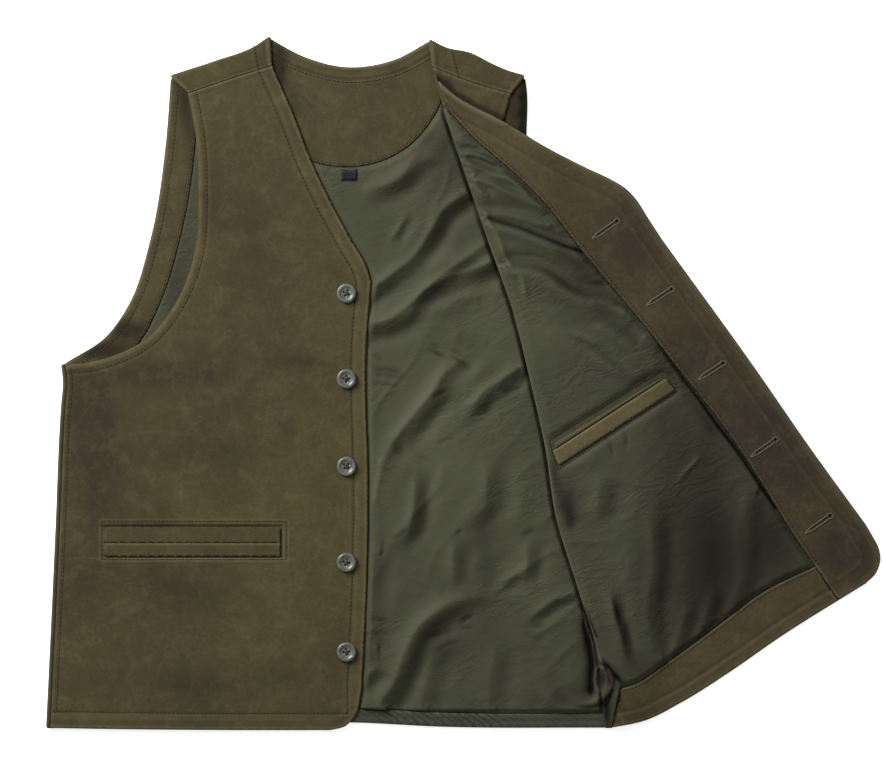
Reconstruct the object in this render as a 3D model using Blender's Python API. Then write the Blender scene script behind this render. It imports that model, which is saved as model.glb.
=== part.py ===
"""A nubuck leather gilet laid flat on its back, with one front closed and the other turned back.

Tables and sizes are in millimetres, the finished meshes in metres. +Z is up, +Y points to the neck,
and the floor is z = 0. Every cut piece of cloth is one closed wall with its own name.
"""

import math

import bmesh
import bpy
import numpy as np
from mathutils.geometry import delaunay_2d_cdt

MM = 0.001

# Cloth and seams
LEATHER = 1.5
SATIN = 1.0
TWILL = 1.2
RIBBON = 0.7
GAP = 0.3

# Bend radii at the middle of the wall, and the heights of the layers that they lead to
BACK_BEND = 2.2
FRONT_BEND = 1.5
BACK_MID = LEATHER / 2
FRONT_MID = BACK_MID + 2 * BACK_BEND
FLAP_MID = FRONT_MID + 2 * FRONT_BEND
LINING_BEND = FRONT_BEND + LEATHER / 2 + GAP + SATIN / 2
BACK_REACH = BACK_BEND + LEATHER / 2
LINING_REACH = LINING_BEND + SATIN / 2
BEND_STEPS = 6

# How the turned-back front comes down to the floor beside the back
DESCENT_START = 2.0
DESCENT = 58.0

# Widths on the garment
SIDE_TURN = 4.6
INNER_MARGIN = 4.0
TUCK = 10.0
HEM_BAND = 14.0

# Mesh spacing
CHORD = 16.0
COARSE = 34.0
PANEL = 24.0
FINE = 15.0

# Buttons and buttonholes
BUTTON_RADIUS = 9.5
BUTTON_SEAT = FRONT_MID + LEATHER / 2 + GAP
BUTTON_X = -113.0
BUTTON_Y = (87.0, 4.0, -81.0, -174.0, -261.0)
SLIT_HALF = 0.8
EYELET_RADIUS = 1.7

CENTRE_X = -113.0

# Outline curves, each row a point x, y that the smooth line runs through
BACK_NECK = ((-188, 335), (-154, 317), (-113, 307), (-67, 314), (-33, 332))
SHOULDER_LEFT = ((-284, 299), (-241, 313), (-203, 327), (-188, 337))
SHOULDER_RIGHT = ((-32, 334), (-16, 326), (7, 321), (27, 311), (43, 304), (60, 299))
ARMHOLE_LEFT = ((-284, 296), (-289, 232), (-304, 139), (-326, 74), (-346, 46), (-387, 19))
ARMHOLE_RIGHT = ((60.5, 296), (62, 285), (62, 232), (76, 139), (99, 88), (121, 50), (164, 19))
SIDE_LEFT = ((-390.5, 18), (-388.7, 2), (-390.5, -22), (-396, -144), (-400, -231), (-405, -335))
SIDE_RIGHT = ((168, 20), (160, -150), (146, -335))
BACK_HEM = ((-402, -335), (-255, -334), (-106, -330), (-22, -334), (143, -335))

SEAM_LEFT = ((-267, 281), (-226, 295), (-185, 308))
SEAM_RIGHT = ((-30, 307), (3, 294), (35, 284), (47, 281))
V_NECK = ((-185, 307.7), (-167, 267), (-146, 213), (-109, 140), (-93, 112), (-89, 98))
BUTTON_EDGE = ((-89, 98), (-94, 32), (-92, -94), (-93, -185), (-98, -297))
FRONT_CORNER = ((-98, -297), (-104, -322), (-114, -333), (-128, -337))
FRONT_HEM = ((-128, -337), (-216, -337), (-341, -336), (-399, -335))
FRONT_ARMHOLE = (
    (-385, 18), (-366, 19.5), (-345, 24.5), (-306, 44), (-276, 83), (-260.5, 127),
    (-257, 182), (-260, 243), (-267, 280.7),
)
HIDDEN_ARMHOLE = (
    (47, 280.7), (42, 263), (39, 240), (37, 187), (39, 139), (48, 92), (78, 50), (121, 27), (163, 19),
)

FOLD_LINE = (
    (-30, 298), (-16, 255), (4, 196), (24, 138), (48, 70), (64, 7),
    (80, -65), (90, -130), (110, -195), (130, -261), (137, -335),
)
FLAP_NECK = ((-26, 296), (-8, 280), (40, 253.5), (78, 230.5), (110, 214), (142, 199))
FLAP_CORNER = ((142, 199), (157, 190), (167, 180), (180, 160), (193, 140))
FLAP_EDGE = ((193, 140), (284, 14), (338, -64), (391, -137))
FLAP_ROUND = ((391, -137), (398, -149), (404, -161), (405.5, -171), (401, -185), (391, -195))
FLAP_HEM = ((391, -195), (308, -247), (259, -281), (213, -310), (179, -327), (140.5, -335))

FACING_EDGE = (
    (-21, 272), (13, 235), (40, 212), (76, 178), (120, 123), (171, 62),
    (217, 4), (248, -35), (278, -78), (321, -147), (342, -178),
)
FACING_SEAM_FOOT = (364, -211)
HEM_FACING_EDGE = ((342, -178), (293, -202), (247, -236), (196, -273), (164, -293), (152, -296))
HEM_FACING_FOOT = (144.5, -335)
NECK_FACING_HALF = ((-113, 209.5), (-75, 217), (-50, 232), (-34, 250), (-22, 270), (-18, 305))
ARMHOLE_FACING_EDGE = ((-258, 305), (-261, 219), (-274, 143), (-291, 85), (-315, 38), (-372, -4))

# Buttonholes, each row the inner end and the outer end
BUTTONHOLES = (
    (131, 144, 151, 158),
    (184, 79, 204, 92),
    (234, 7, 254, 20),
    (285, -68, 305, -54),
    (338, -142, 358, -128),
)

# Pockets, each row a corner x, y
WELT_UPPER = ((-347, -141), (-178, -141), (-178, -154.8), (-347, -154.8))
WELT_LOWER = ((-347, -155.5), (-178, -155.5), (-178, -167), (-347, -167))
INNER_WELT = ((87, -66), (197, 5), (206, -7), (93, -80))
INNER_STRIP = ((90, -63.1), (193.5, 3.7), (193, 5.6), (88, -59))
SIZE_TAB = ((-119, 208), (-103, 208), (-103, 196.5), (-119, 196.5))

# Largest folds of the linings, each row x0, y0, x1, y1, x2, y2 along the crest, half width, height
BACK_FOLDS = (
    (-11, 250, -42, 211, -84, 190, 9, 3.0),
    (-32, 173, -47, 146, -66, 117, 9, 3.0),
    (22, 118, -22, 118, -70, 90, 9, 4.5),
    (28, 96, -32, 71, -72, 56, 9, 4.0),
    (36, 26, -37, -32, -66, -103, 9, 4.0),
    (56, -4, 23, -17, -4, -35, 8, 3.0),
    (56, -122, 34, -138, 12, -156, 8, 2.5),
    (30, -196, -42, -244, -58, -298, 10, 4.0),
)
FLAP_FOLDS = (
    (8, 218, 30, 212, 58, 184, 8, 2.5),
    (36, 156, 66, 146, 104, 126, 8, 3.0),
    (62, 106, 104, 84, 146, 52, 10, 4.0),
    (92, 46, 133, 19, 170, 12, 9, 3.0),
    (150, -104, 160, -160, 172, -230, 14, 3.0),
    (272, -100, 276, -140, 268, -190, 13, 3.5),
)
PANEL_SWELLS = (
    (-330, 10, -250, -20, -170, -40, 40, 0.8),
    (-240, 230, -220, 120, -180, 20, 36, 0.7),
    (-360, -200, -280, -230, -180, -220, 40, 0.7),
)


def curve(rows, step=CHORD):
    """A smooth line through the rows, with a point about every step."""
    knots = np.array(rows, float)
    if len(knots) > 2:
        along = np.concatenate(([0.0], np.cumsum(np.hypot(*np.diff(knots, axis=0).T))))
        slopes = np.gradient(knots, along, axis=0)
        t = np.linspace(0.0, 1.0, 17)[:, None]
        pieces = []
        for i in range(len(knots) - 1):
            span = along[i + 1] - along[i]
            pieces.append(
                knots[i] * (2 * t**3 - 3 * t**2 + 1)
                + knots[i + 1] * (3 * t**2 - 2 * t**3)
                + slopes[i] * span * (t**3 - 2 * t**2 + t)
                + slopes[i + 1] * span * (t**3 - t**2)
            )
        knots = np.vstack(pieces)
    along = np.concatenate(([0.0], np.cumsum(np.hypot(*np.diff(knots, axis=0).T))))
    stops = np.linspace(0.0, along[-1], max(1, round(along[-1] / step)) + 1)
    return np.column_stack([np.interp(stops, along, knots[:, k]) for k in (0, 1)])


def closed(*curves):
    """The curves end to end as one loop, without the ends that they share."""
    points = np.vstack(curves)
    step = np.hypot(*(points - np.roll(points, 1, axis=0)).T)
    return points[step > 0.4]


def patch(corners, step):
    """A loop with straight sides between the corners."""
    return closed(*(curve(pair, step) for pair in zip(corners, corners[1:] + corners[:1])))


def sideways(line):
    """The unit vector to the left of the way the line runs, at each of its points."""
    run = np.gradient(line, axis=0)
    run /= np.hypot(run[:, 0], run[:, 1])[:, None]
    return np.column_stack((-run[:, 1], run[:, 0]))


def distance(points, line):
    """How far each point lies from the nearest stretch of the line."""
    best = np.full(len(points), np.inf)
    for a, b in zip(line[:-1], line[1:]):
        span = b - a
        t = np.clip((points - a) @ span / max(span @ span, 1e-9), 0.0, 1.0)
        best = np.minimum(best, np.hypot(*(points - a - t[:, None] * span).T))
    return best


def inside(points, loop):
    """Whether each point lies within the loop."""
    odd = np.zeros(len(points), bool)
    for (ax, ay), (bx, by) in zip(loop, np.roll(loop, -1, axis=0)):
        if ay == by:
            continue
        crosses = (points[:, 1] < ay) != (points[:, 1] < by)
        odd ^= crosses & (points[:, 0] < ax + (points[:, 1] - ay) * (bx - ax) / (by - ay))
    return odd


def ramp(t):
    """Smooth step from 0 to 1."""
    t = np.clip(t, 0.0, 1.0)
    return t * t * (3 - 2 * t)


class Plan:
    """A flat piece seen from above: its points and the triangles that fill it."""

    def __init__(self, xy, faces):
        self.xy = xy
        self.faces = faces

    def centres(self):
        return self.xy[self.faces].mean(axis=1)

    def part(self, keep, inset=GAP / 2):
        """The triangles that are kept, as a piece of its own, its edge drawn in by the inset."""
        faces = self.faces[keep]
        used, flat = np.unique(faces, return_inverse=True)
        faces = flat.reshape(-1, 3)
        xy = self.xy[used]
        lean = {}
        for a, b in edge_of(faces):
            run = xy[b] - xy[a]
            left = np.array((-run[1], run[0])) / max(math.hypot(*run), 1e-9)
            lean.setdefault(a, []).append(left)
            lean.setdefault(b, []).append(left)
        moved = xy.copy()
        for i, sides in lean.items():
            total = np.sum(sides, axis=0)
            moved[i] += inset * total / max(0.6, 1 + sides[0] @ sides[-1])
        return Plan(moved, faces)


def edge_of(faces):
    """The directed edges that only one triangle uses."""
    seen = {}
    for face in faces:
        corners = [int(i) for i in face]
        for a, b in zip(corners, corners[1:] + corners[:1]):
            if (b, a) in seen:
                del seen[(b, a)]
            else:
                seen[(a, b)] = True
    return list(seen)


def fill(loop, spacing, lines=(), rings=()):
    """Triangles that fill the loop, with the open lines and closed rings kept as edges."""
    points = []
    edges = []
    for line, shut in [(loop, True), *((l, False) for l in lines), *((r, True) for r in rings)]:
        first = len(points)
        count = len(line)
        points.extend(line)
        edges.extend((first + i, first + (i + 1) % count) for i in range(count if shut else count - 1))
    low = loop.min(axis=0)
    high = loop.max(axis=0)
    row_step = spacing * math.sqrt(3) / 2
    grid = []
    for row in range(int((high[1] - low[1]) / row_step) + 1):
        shift = spacing / 2 if row % 2 else 0.0
        across = np.arange(low[0] + shift, high[0], spacing)
        grid.append(np.column_stack((across, np.full(len(across), low[1] + row * row_step))))
    grid = np.vstack(grid)
    keep = inside(grid, loop)
    for line in (np.vstack((loop, loop[:1])), *lines, *(np.vstack((r, r[:1])) for r in rings)):
        keep &= distance(grid, line) > 0.5 * spacing
    points.extend(grid[keep])
    found = delaunay_2d_cdt([tuple(map(float, p)) for p in points], edges, [], 0, 1e-3)
    xy = np.array([tuple(v) for v in found[0]])
    faces = np.array([tuple(f) for f in found[2]])
    a, b, c = (xy[faces[:, k]] for k in (0, 1, 2))
    turn = (b - a)[:, 0] * (c - a)[:, 1] - (b - a)[:, 1] * (c - a)[:, 0]
    faces[turn < 0] = faces[turn < 0][:, ::-1]
    keep = inside(xy[faces].mean(axis=1), loop) & (np.abs(turn) > 1e-4)
    return Plan(xy, faces[keep])


class Sheet:
    """A surface of cloth in space: points, the way its outer face looks, and faces."""

    def __init__(self):
        self.points = []
        self.ups = []
        self.faces = []

    def row(self, xy, z, ups):
        first = len(self.points)
        heights = np.broadcast_to(z, (len(xy),))
        self.points.extend((x, y, h) for (x, y), h in zip(xy, heights))
        self.ups.extend(np.broadcast_to(ups, (len(xy), 3)))
        return list(range(first, len(self.points)))

    def panel(self, plan, z, up=1.0):
        ids = self.row(plan.xy, z, (0.0, 0.0, up))
        self.faces.extend([ids[i] for i in face][:: 1 if up > 0 else -1] for face in plan.faces)
        return ids

    def join(self, lower, upper):
        for a, b, c, d in zip(lower, lower[1:], upper[1:], upper):
            self.faces.append([a, b, c, d])

    def bend(self, lower, upper, out, radius, up):
        """A half-round turn from one row of points to the row above it, bulging along out."""
        last = lower
        start = np.array([self.points[i] for i in lower])
        for k in range(1, BEND_STEPS):
            angle = math.pi * k / BEND_STEPS
            xy = start[:, :2] + out * radius * math.sin(angle)
            side = np.column_stack((-out * math.sin(angle), np.full(len(out), math.cos(angle))))
            row = self.row(xy, start[:, 2] + radius * (1 - math.cos(angle)), side * up)
            self.join(last, row)
            last = row
        self.join(last, upper)


def chain(plan, ids, line):
    """The sheet's points that lie at the line's points, in its order."""
    return [ids[int(np.argmin(np.hypot(*(plan.xy - p).T)))] for p in line]


def material(name, colour, roughness):
    made = bpy.data.materials.new(name)
    made.use_nodes = True
    shader = made.node_tree.nodes["Principled BSDF"]
    shader.inputs["Base Color"].default_value = (*colour, 1.0)
    shader.inputs["Roughness"].default_value = roughness
    return made


def wall(name, sheet, low, high, finish):
    """One named solid: the sheet as a closed wall from low to high along its outer face."""
    points = np.array(sheet.points, float)
    ups = np.array(sheet.ups, float)
    count = len(points)
    outer = points + ups * np.reshape(high, (-1, 1))
    inner = points + ups * np.reshape(low, (-1, 1))
    edges = {}
    for face in sheet.faces:
        for a, b in zip(face, face[1:] + face[:1]):
            key = (min(a, b), max(a, b))
            edges[key] = None if key in edges else (a, b)
    faces = [list(face) for face in sheet.faces]
    faces += [[i + count for i in reversed(face)] for face in sheet.faces]
    faces += [[b, a, a + count, b + count] for a, b in filter(None, edges.values())]
    mesh = bpy.data.meshes.new(name)
    mesh.from_pydata((np.vstack((outer, inner)) * MM).tolist(), [], faces)
    body = bmesh.new()
    body.from_mesh(mesh)
    bmesh.ops.recalc_face_normals(body, faces=body.faces)
    bmesh.ops.triangulate(body, faces=body.faces)
    body.to_mesh(mesh)
    body.free()
    mesh.materials.append(finish)
    made = bpy.data.objects.new(name, mesh)
    bpy.context.scene.collection.objects.link(made)
    return made


def flat_piece(name, plan, z, low, high, finish, lift=0.0):
    """A piece that lies on the height z of what carries it, lifted in its folds."""
    sheet = Sheet()
    sheet.panel(plan, z + lift)
    return wall(name, sheet, low, high, finish)


def crests(xy, folds):
    """Height of the folds in a table at each point, round across and fading at both ends."""
    height = np.zeros(len(xy))
    for x0, y0, x1, y1, x2, y2, width, crest in folds:
        line = curve(((x0, y0), (x1, y1), (x2, y2)), width)
        ends = np.minimum(np.hypot(*(xy - line[0]).T), np.hypot(*(xy - line[-1]).T))
        across = np.exp(-((distance(xy, line) / width) ** 2))
        height = np.maximum(height, crest * across * (0.35 + 0.65 * ramp(ends / (3 * width))))
    return height


def mirrored(rows):
    """The same points on the other side of the garment's centre line, in the other order."""
    return tuple((2 * CENTRE_X - x, y) for x, y in rows[::-1])


def neck_facing_edge():
    """Lower edge of the half-moon facing, the same on both sides of the centre line."""
    return curve(mirrored(NECK_FACING_HALF)[:-1] + NECK_FACING_HALF)


def flap_height(xy):
    """Middle of the turned-back front's wall: over the back, then down beside it to the floor."""
    support = np.vstack((curve(ARMHOLE_RIGHT), curve(SIDE_RIGHT)[1:], [(140, -400)]))
    edge_x = np.interp(-xy[:, 1], -support[:, 1], support[:, 0])
    beyond = np.where(xy[:, 0] > edge_x, distance(xy, support), 0.0)
    return BACK_MID + (FLAP_MID - BACK_MID) * (1 - ramp((beyond - DESCENT_START) / DESCENT))


def front_height(xy):
    """Middle of the closed front's wall, with its soft swells."""
    return FRONT_MID + crests(xy, PANEL_SWELLS)


def make_back(nubuck):
    """The back: flat on the floor, turned up round the left side and over both shoulders."""
    side_bend = curve(SIDE_LEFT)
    side_bend = side_bend + sideways(side_bend) * BACK_REACH
    left_fold = curve(SHOULDER_LEFT)
    right_fold = curve(SHOULDER_RIGHT)
    left_bend = left_fold - sideways(left_fold) * BACK_REACH
    right_bend = right_fold - sideways(right_fold) * BACK_REACH
    right_side = curve(SIDE_RIGHT, COARSE) - (BACK_REACH + GAP, 0)
    loop = closed(
        left_bend, curve(BACK_NECK)[1:-1], right_bend, curve(ARMHOLE_RIGHT)[1:-1],
        right_side, curve(BACK_HEM, COARSE)[::-1][1:-1], side_bend[::-1], curve(ARMHOLE_LEFT)[::-1][1:-1],
    )
    plan = fill(loop, 2 * COARSE)
    sheet = Sheet()
    ids = sheet.panel(plan, BACK_MID, -1.0)
    turns = (
        (side_bend, -sideways(side_bend), side_bend + sideways(side_bend) * (SIDE_TURN - BACK_REACH)),
        (left_bend, sideways(left_bend), curve(SEAM_LEFT, 1.0)),
        (right_bend, sideways(right_bend), curve(SEAM_RIGHT, 1.0)),
    )
    for bend, out, seam in turns:
        lower = chain(plan, ids, bend)
        upper = sheet.row(bend, FRONT_MID, (0.0, 0.0, 1.0))
        sheet.bend(lower, upper, out, BACK_BEND, -1.0)
        pick = np.linspace(0, len(seam) - 1, len(bend)).round().astype(int)
        sheet.join(upper, sheet.row(seam[pick], FRONT_MID, (0.0, 0.0, 1.0)))
    wall("back_panel", sheet, -LEATHER / 2, LEATHER / 2, nubuck)


def make_back_inside(nubuck, satin, twill, ribbon):
    """What is sewn to the inside of the back: lining, facings, hem band and size tab."""
    left_edge = curve(SIDE_LEFT, COARSE) + (INNER_MARGIN, 0)
    right_edge = curve(SIDE_RIGHT, COARSE) - (BACK_REACH + 1.0, 0)
    shoulder_left = curve(SHOULDER_LEFT) - (0, INNER_MARGIN + 1)
    shoulder_right = curve(SHOULDER_RIGHT) - (0, INNER_MARGIN + 1)
    loop = closed(
        shoulder_left, curve(BACK_NECK)[1:-1] - (0, 1), shoulder_right, curve(ARMHOLE_RIGHT)[1:-1],
        right_edge, curve(BACK_HEM, COARSE)[::-1][1:-1], left_edge[::-1], curve(ARMHOLE_LEFT)[::-1][1:-1],
    )
    neck = neck_facing_edge()
    neck = np.vstack(((neck[0][0] - 2, 360), neck, (neck[-1][0] + 2, 360)))
    left_arm = curve(ARMHOLE_FACING_EDGE)
    left_arm = np.vstack(((left_arm[0][0], 340), left_arm, (-420, -20)))
    right_arm = np.array(mirrored(left_arm))
    band = curve(((-420, BACK_HEM[0][1]), *BACK_HEM[1:-1], (160, BACK_HEM[-1][1])), COARSE) + (0, HEM_BAND)
    tab = patch(SIZE_TAB, 4.0)
    plan = fill(loop, FINE, lines=(neck, left_arm, right_arm, band), rings=(tab,))
    centres = plan.centres()
    in_neck = inside(centres, neck)
    in_left = inside(centres, np.vstack((left_arm, (-420, 340))))
    in_right = inside(centres, np.vstack((right_arm, (200, 340))))
    in_band = inside(centres, np.vstack((band, (160, -400), (-420, -400))))
    in_lining = ~(in_neck | in_left | in_right | in_band)
    top = BACK_MID + LEATHER / 2
    leather = (GAP, GAP + LEATHER)
    flat_piece("back_neck_facing", plan.part(in_neck), top, *leather, nubuck)
    flat_piece("back_armhole_facing_left", plan.part(in_left), top, *leather, nubuck)
    flat_piece("back_armhole_facing_right", plan.part(in_right), top, *leather, nubuck)
    flat_piece("back_hem_band", plan.part(in_band), top, GAP, GAP + TWILL, twill)
    lining = plan.part(in_lining)
    flat_piece("back_lining", lining, top, GAP, GAP + SATIN, satin, back_lift(lining.xy))
    on_lining = plan.part(inside(centres, tab), 0.0)
    flat_piece(
        "size_tab", on_lining, top + GAP + SATIN, GAP, GAP + RIBBON, ribbon, back_lift(on_lining.xy)
    )


def back_lift(xy):
    """Folds of the back lining: only between the closed front's edge and the fold of the other."""
    front_edge = np.vstack((curve(V_NECK), curve(BUTTON_EDGE), curve(FRONT_CORNER)))
    fold = curve(FOLD_LINE)
    clear = ramp((distance(xy, front_edge) - 3) / 14) * ramp((distance(xy, fold) - 3) / 14)
    clear *= ramp((distance(xy, neck_facing_edge()) - 2) / 14) * ramp((xy[:, 1] + 318) / 20)
    open_front = np.interp(-xy[:, 1], -front_edge[:, 1], front_edge[:, 0])
    fold_x = np.interp(-xy[:, 1], -fold[:, 1], fold[:, 0])
    shown = (xy[:, 0] > open_front) & (xy[:, 0] < fold_x)
    return crests(xy, BACK_FOLDS) * clear * shown


def make_closed_front(nubuck):
    """The wearer's right front, outside up, and the two welts of its pocket."""
    seam = curve(SEAM_LEFT)
    side = curve(SIDE_LEFT)
    side = side + sideways(side) * (SIDE_TURN + GAP)
    loop = closed(
        curve(V_NECK), curve(BUTTON_EDGE)[1:], curve(FRONT_CORNER, 6.0)[1:], curve(FRONT_HEM, COARSE)[1:-1],
        side[::-1], curve(FRONT_ARMHOLE)[1:-1], seam - (0, GAP),
    )
    rings = [patch(welt, PANEL) for welt in (WELT_UPPER, WELT_LOWER)]
    plan = fill(loop, PANEL, rings=rings)
    whole = plan.part(np.ones(len(plan.faces), bool), 0.0)
    flat_piece("front_right", whole, front_height(whole.xy), -LEATHER / 2, LEATHER / 2, nubuck)
    for name, ring in zip(("pocket_welt_upper", "pocket_welt_lower"), rings):
        welt = plan.part(inside(plan.centres(), ring), 0.0)
        top = front_height(welt.xy) + LEATHER / 2
        flat_piece(name, welt, top, GAP, GAP + LEATHER, nubuck)


def slit(x0, y0, x1, y1):
    """Outline of a keyhole buttonhole: a narrow slit with a round eyelet at its outer end."""
    run = np.array((x1 - x0, y1 - y0), float)
    length = math.hypot(*run)
    run /= length
    left = np.array((-run[1], run[0]))
    half = math.asin(SLIT_HALF / EYELET_RADIUS)
    eye = length - EYELET_RADIUS
    corners = [(0.0, SLIT_HALF), (0.0, -SLIT_HALF)]
    for k in range(7):
        angle = -math.pi + half + k * (2 * math.pi - 2 * half) / 6
        corners.append((eye + EYELET_RADIUS * math.cos(angle), EYELET_RADIUS * math.sin(angle)))
    return np.array([(x0, y0) + run * a + left * b for a, b in corners])


def make_open_front(nubuck, satin):
    """The wearer's left front: from its side seam over a hidden layer, then turned back at the fold."""
    side = curve(SIDE_RIGHT) - (BACK_REACH, 0)
    fold = curve(FOLD_LINE)
    outward = -sideways(fold)
    fold_bend = fold - outward * LINING_REACH
    hidden_loop = closed(
        side, fold_bend[::-1], curve(SEAM_RIGHT)[:-1] - (0, GAP), curve(HIDDEN_ARMHOLE)[:-1],
    )
    hidden = fill(hidden_loop, COARSE)
    flap_hem = curve(FLAP_HEM)
    flap_loop = closed(
        fold_bend, flap_hem[::-1][1:], curve(FLAP_ROUND, 8.0)[::-1][1:], curve(FLAP_EDGE)[::-1][1:],
        curve(FLAP_CORNER, 10.0)[::-1][1:], curve(FLAP_NECK)[::-1][1:-1],
    )
    facing_edge = curve(FACING_EDGE)
    facing_edge[0] = fold_bend[np.argmin(np.hypot(*(fold_bend - facing_edge[0]).T))]
    seam_foot = flap_hem[np.argmin(np.hypot(*(flap_hem - FACING_SEAM_FOOT).T))]
    band_foot = flap_hem[np.argmin(np.hypot(*(flap_hem[:-1] - HEM_FACING_FOOT).T))]
    band_edge = curve(HEM_FACING_EDGE)
    lines = (facing_edge, np.vstack((facing_edge[-1], seam_foot)), np.vstack((band_edge, band_foot)))
    slits = [slit(*row) for row in BUTTONHOLES]
    welts = [patch(corners, CHORD) for corners in (INNER_WELT, INNER_STRIP)]
    plan = fill(flap_loop, FINE + 3, lines=lines, rings=(*slits, *welts))
    centres = plan.centres()
    cut_out = np.zeros(len(centres), bool)
    for hole in slits:
        cut_out |= inside(centres, hole)
    shell = plan.part(~cut_out, 0.0)
    sheet = Sheet()
    hidden_ids = sheet.panel(hidden, FRONT_MID, 1.0)
    flap_ids = sheet.panel(shell, flap_height(shell.xy), -1.0)
    foot = sheet.row(side, BACK_MID, (0.0, 0.0, -1.0))
    sheet.bend(foot, chain(hidden, hidden_ids, side), sideways(side), BACK_BEND, -1.0)
    lower = chain(hidden, hidden_ids, fold_bend)
    sheet.bend(lower, chain(shell, flap_ids, fold_bend), outward, FRONT_BEND, 1.0)
    wall("front_left", sheet, -LEATHER / 2, LEATHER / 2, nubuck)

    out = np.array([(500, 400), (-60, 400)])
    in_facing = inside(centres, np.vstack((facing_edge, seam_foot, (400, -260), (500, -200), out)))
    in_band = inside(centres, np.vstack((band_edge, band_foot, (150, -400), (400, -260), seam_foot)))
    in_lining = ~(in_facing | in_band)
    for name, keep in (("front_left_facing", in_facing & ~cut_out), ("front_left_hem_facing", in_band)):
        piece = plan.part(keep)
        top = flap_height(piece.xy) + LEATHER / 2
        flat_piece(name, piece, top, GAP, GAP + LEATHER, nubuck)
    make_open_lining(satin, plan, in_lining, fold_bend, side, outward)
    for name, ring in zip(("inner_pocket_welt", "inner_pocket_strip"), welts):
        piece = plan.part(inside(centres, ring), 0.0)
        top = flap_height(piece.xy) + LEATHER / 2 + GAP + SATIN + flap_lift(piece.xy)
        flat_piece(name, piece, top, GAP, GAP + LEATHER, nubuck)


def flap_lift(xy):
    """Folds of the open front's lining, fading at the seams round it."""
    seams = np.vstack((curve(FACING_EDGE), curve(HEM_FACING_EDGE)))
    clear = ramp((distance(xy, seams) - 2) / 14) * ramp((distance(xy, curve(FOLD_LINE)) - 6) / 14)
    return crests(xy, FLAP_FOLDS) * clear


def make_open_lining(satin, plan, in_lining, fold_bend, side, outward):
    """The open front's lining: on the flap, round the fold and tucked a little way under it."""
    piece = plan.part(in_lining)
    top = flap_height(piece.xy) + LEATHER / 2 + GAP + SATIN / 2
    first = int(np.argmin(np.abs(fold_bend[:, 1] - FACING_EDGE[0][1]))) + 1
    edge = fold_bend[first:-1]
    out = outward[first:-1]
    sheet = Sheet()
    ids = sheet.panel(piece, top + flap_lift(piece.xy), 1.0)
    upper = chain(piece, ids, edge)
    edge = np.array([sheet.points[i][:2] for i in upper])
    under = FRONT_MID + FRONT_BEND - LINING_BEND
    lower = sheet.row(edge, under, (0.0, 0.0, -1.0))
    sheet.bend(lower, upper, out, LINING_BEND, -1.0)
    room = np.interp(-edge[:, 1], -side[:, 1], side[:, 0]) - edge[:, 0] - BACK_REACH / 2
    depth = np.clip(room, GAP, TUCK)[:, None]
    sheet.join(sheet.row(edge - out * depth, under, (0.0, 0.0, -1.0)), lower)
    wall("front_left_lining", sheet, -SATIN / 2, SATIN / 2, satin)


def ring(radius, count, x=0.0, y=0.0):
    angles = np.arange(count) * 2 * math.pi / count
    return np.column_stack((x + radius * np.cos(angles), y + radius * np.sin(angles)))


def make_button(name, y, horn):
    """A turned button with a raised rim, a sunk middle and four holes."""
    profile_r = (0.0, 5.6, 6.6, 8.2, BUTTON_RADIUS)
    top_z = (2.5, 2.5, 3.5, 3.5, 2.4)
    foot_z = (0.0, 0.0, 0.0, 0.0, 1.1)
    rings = [ring(r, 18) for r in profile_r[1:-1]]
    holes = [ring(1.0, 6, 1.9 * dx, 1.9 * dy) for dx in (-1, 1) for dy in (-1, 1)]
    plan = fill(ring(BUTTON_RADIUS, 18), 4.0, rings=(*rings, *holes))
    solid = np.ones(len(plan.faces), bool)
    for hole in holes:
        solid &= ~inside(plan.centres(), hole)
    plan = plan.part(solid, 0.0)
    away = np.hypot(plan.xy[:, 0], plan.xy[:, 1])
    plan.xy = plan.xy + (BUTTON_X, y)
    low = np.interp(away, profile_r, foot_z)
    high = np.interp(away, profile_r, top_z)
    flat_piece(name, plan, BUTTON_SEAT, low, high, horn)


def main():
    for old in list(bpy.data.objects):
        bpy.data.objects.remove(old)
    nubuck = material("nubuck", (0.091, 0.071, 0.032), 0.9)
    satin = material("satin", (0.068, 0.078, 0.043), 0.42)
    twill = material("twill", (0.055, 0.062, 0.034), 0.7)
    ribbon = material("ribbon", (0.008, 0.008, 0.01), 0.6)
    horn = material("horn", (0.07, 0.08, 0.06), 0.35)
    make_back(nubuck)
    make_back_inside(nubuck, satin, twill, ribbon)
    make_closed_front(nubuck)
    make_open_front(nubuck, satin)
    for number, y in enumerate(BUTTON_Y, start=1):
        make_button(f"button_{number}", y, horn)


main()
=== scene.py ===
"""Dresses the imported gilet: fine cloth shells on its solids' forms, with folds, seams, stitches and buttons.

Tables and sizes are in millimetres unless a name says otherwise, the finished meshes in metres.
Tables named in pixels are points of the 886 x 767 photograph, turned into millimetres by photo().
"""

import math

import bpy
import numpy as np
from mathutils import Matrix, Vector, noise
from mathutils.geometry import delaunay_2d_cdt
from mathutils.kdtree import KDTree


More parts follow.
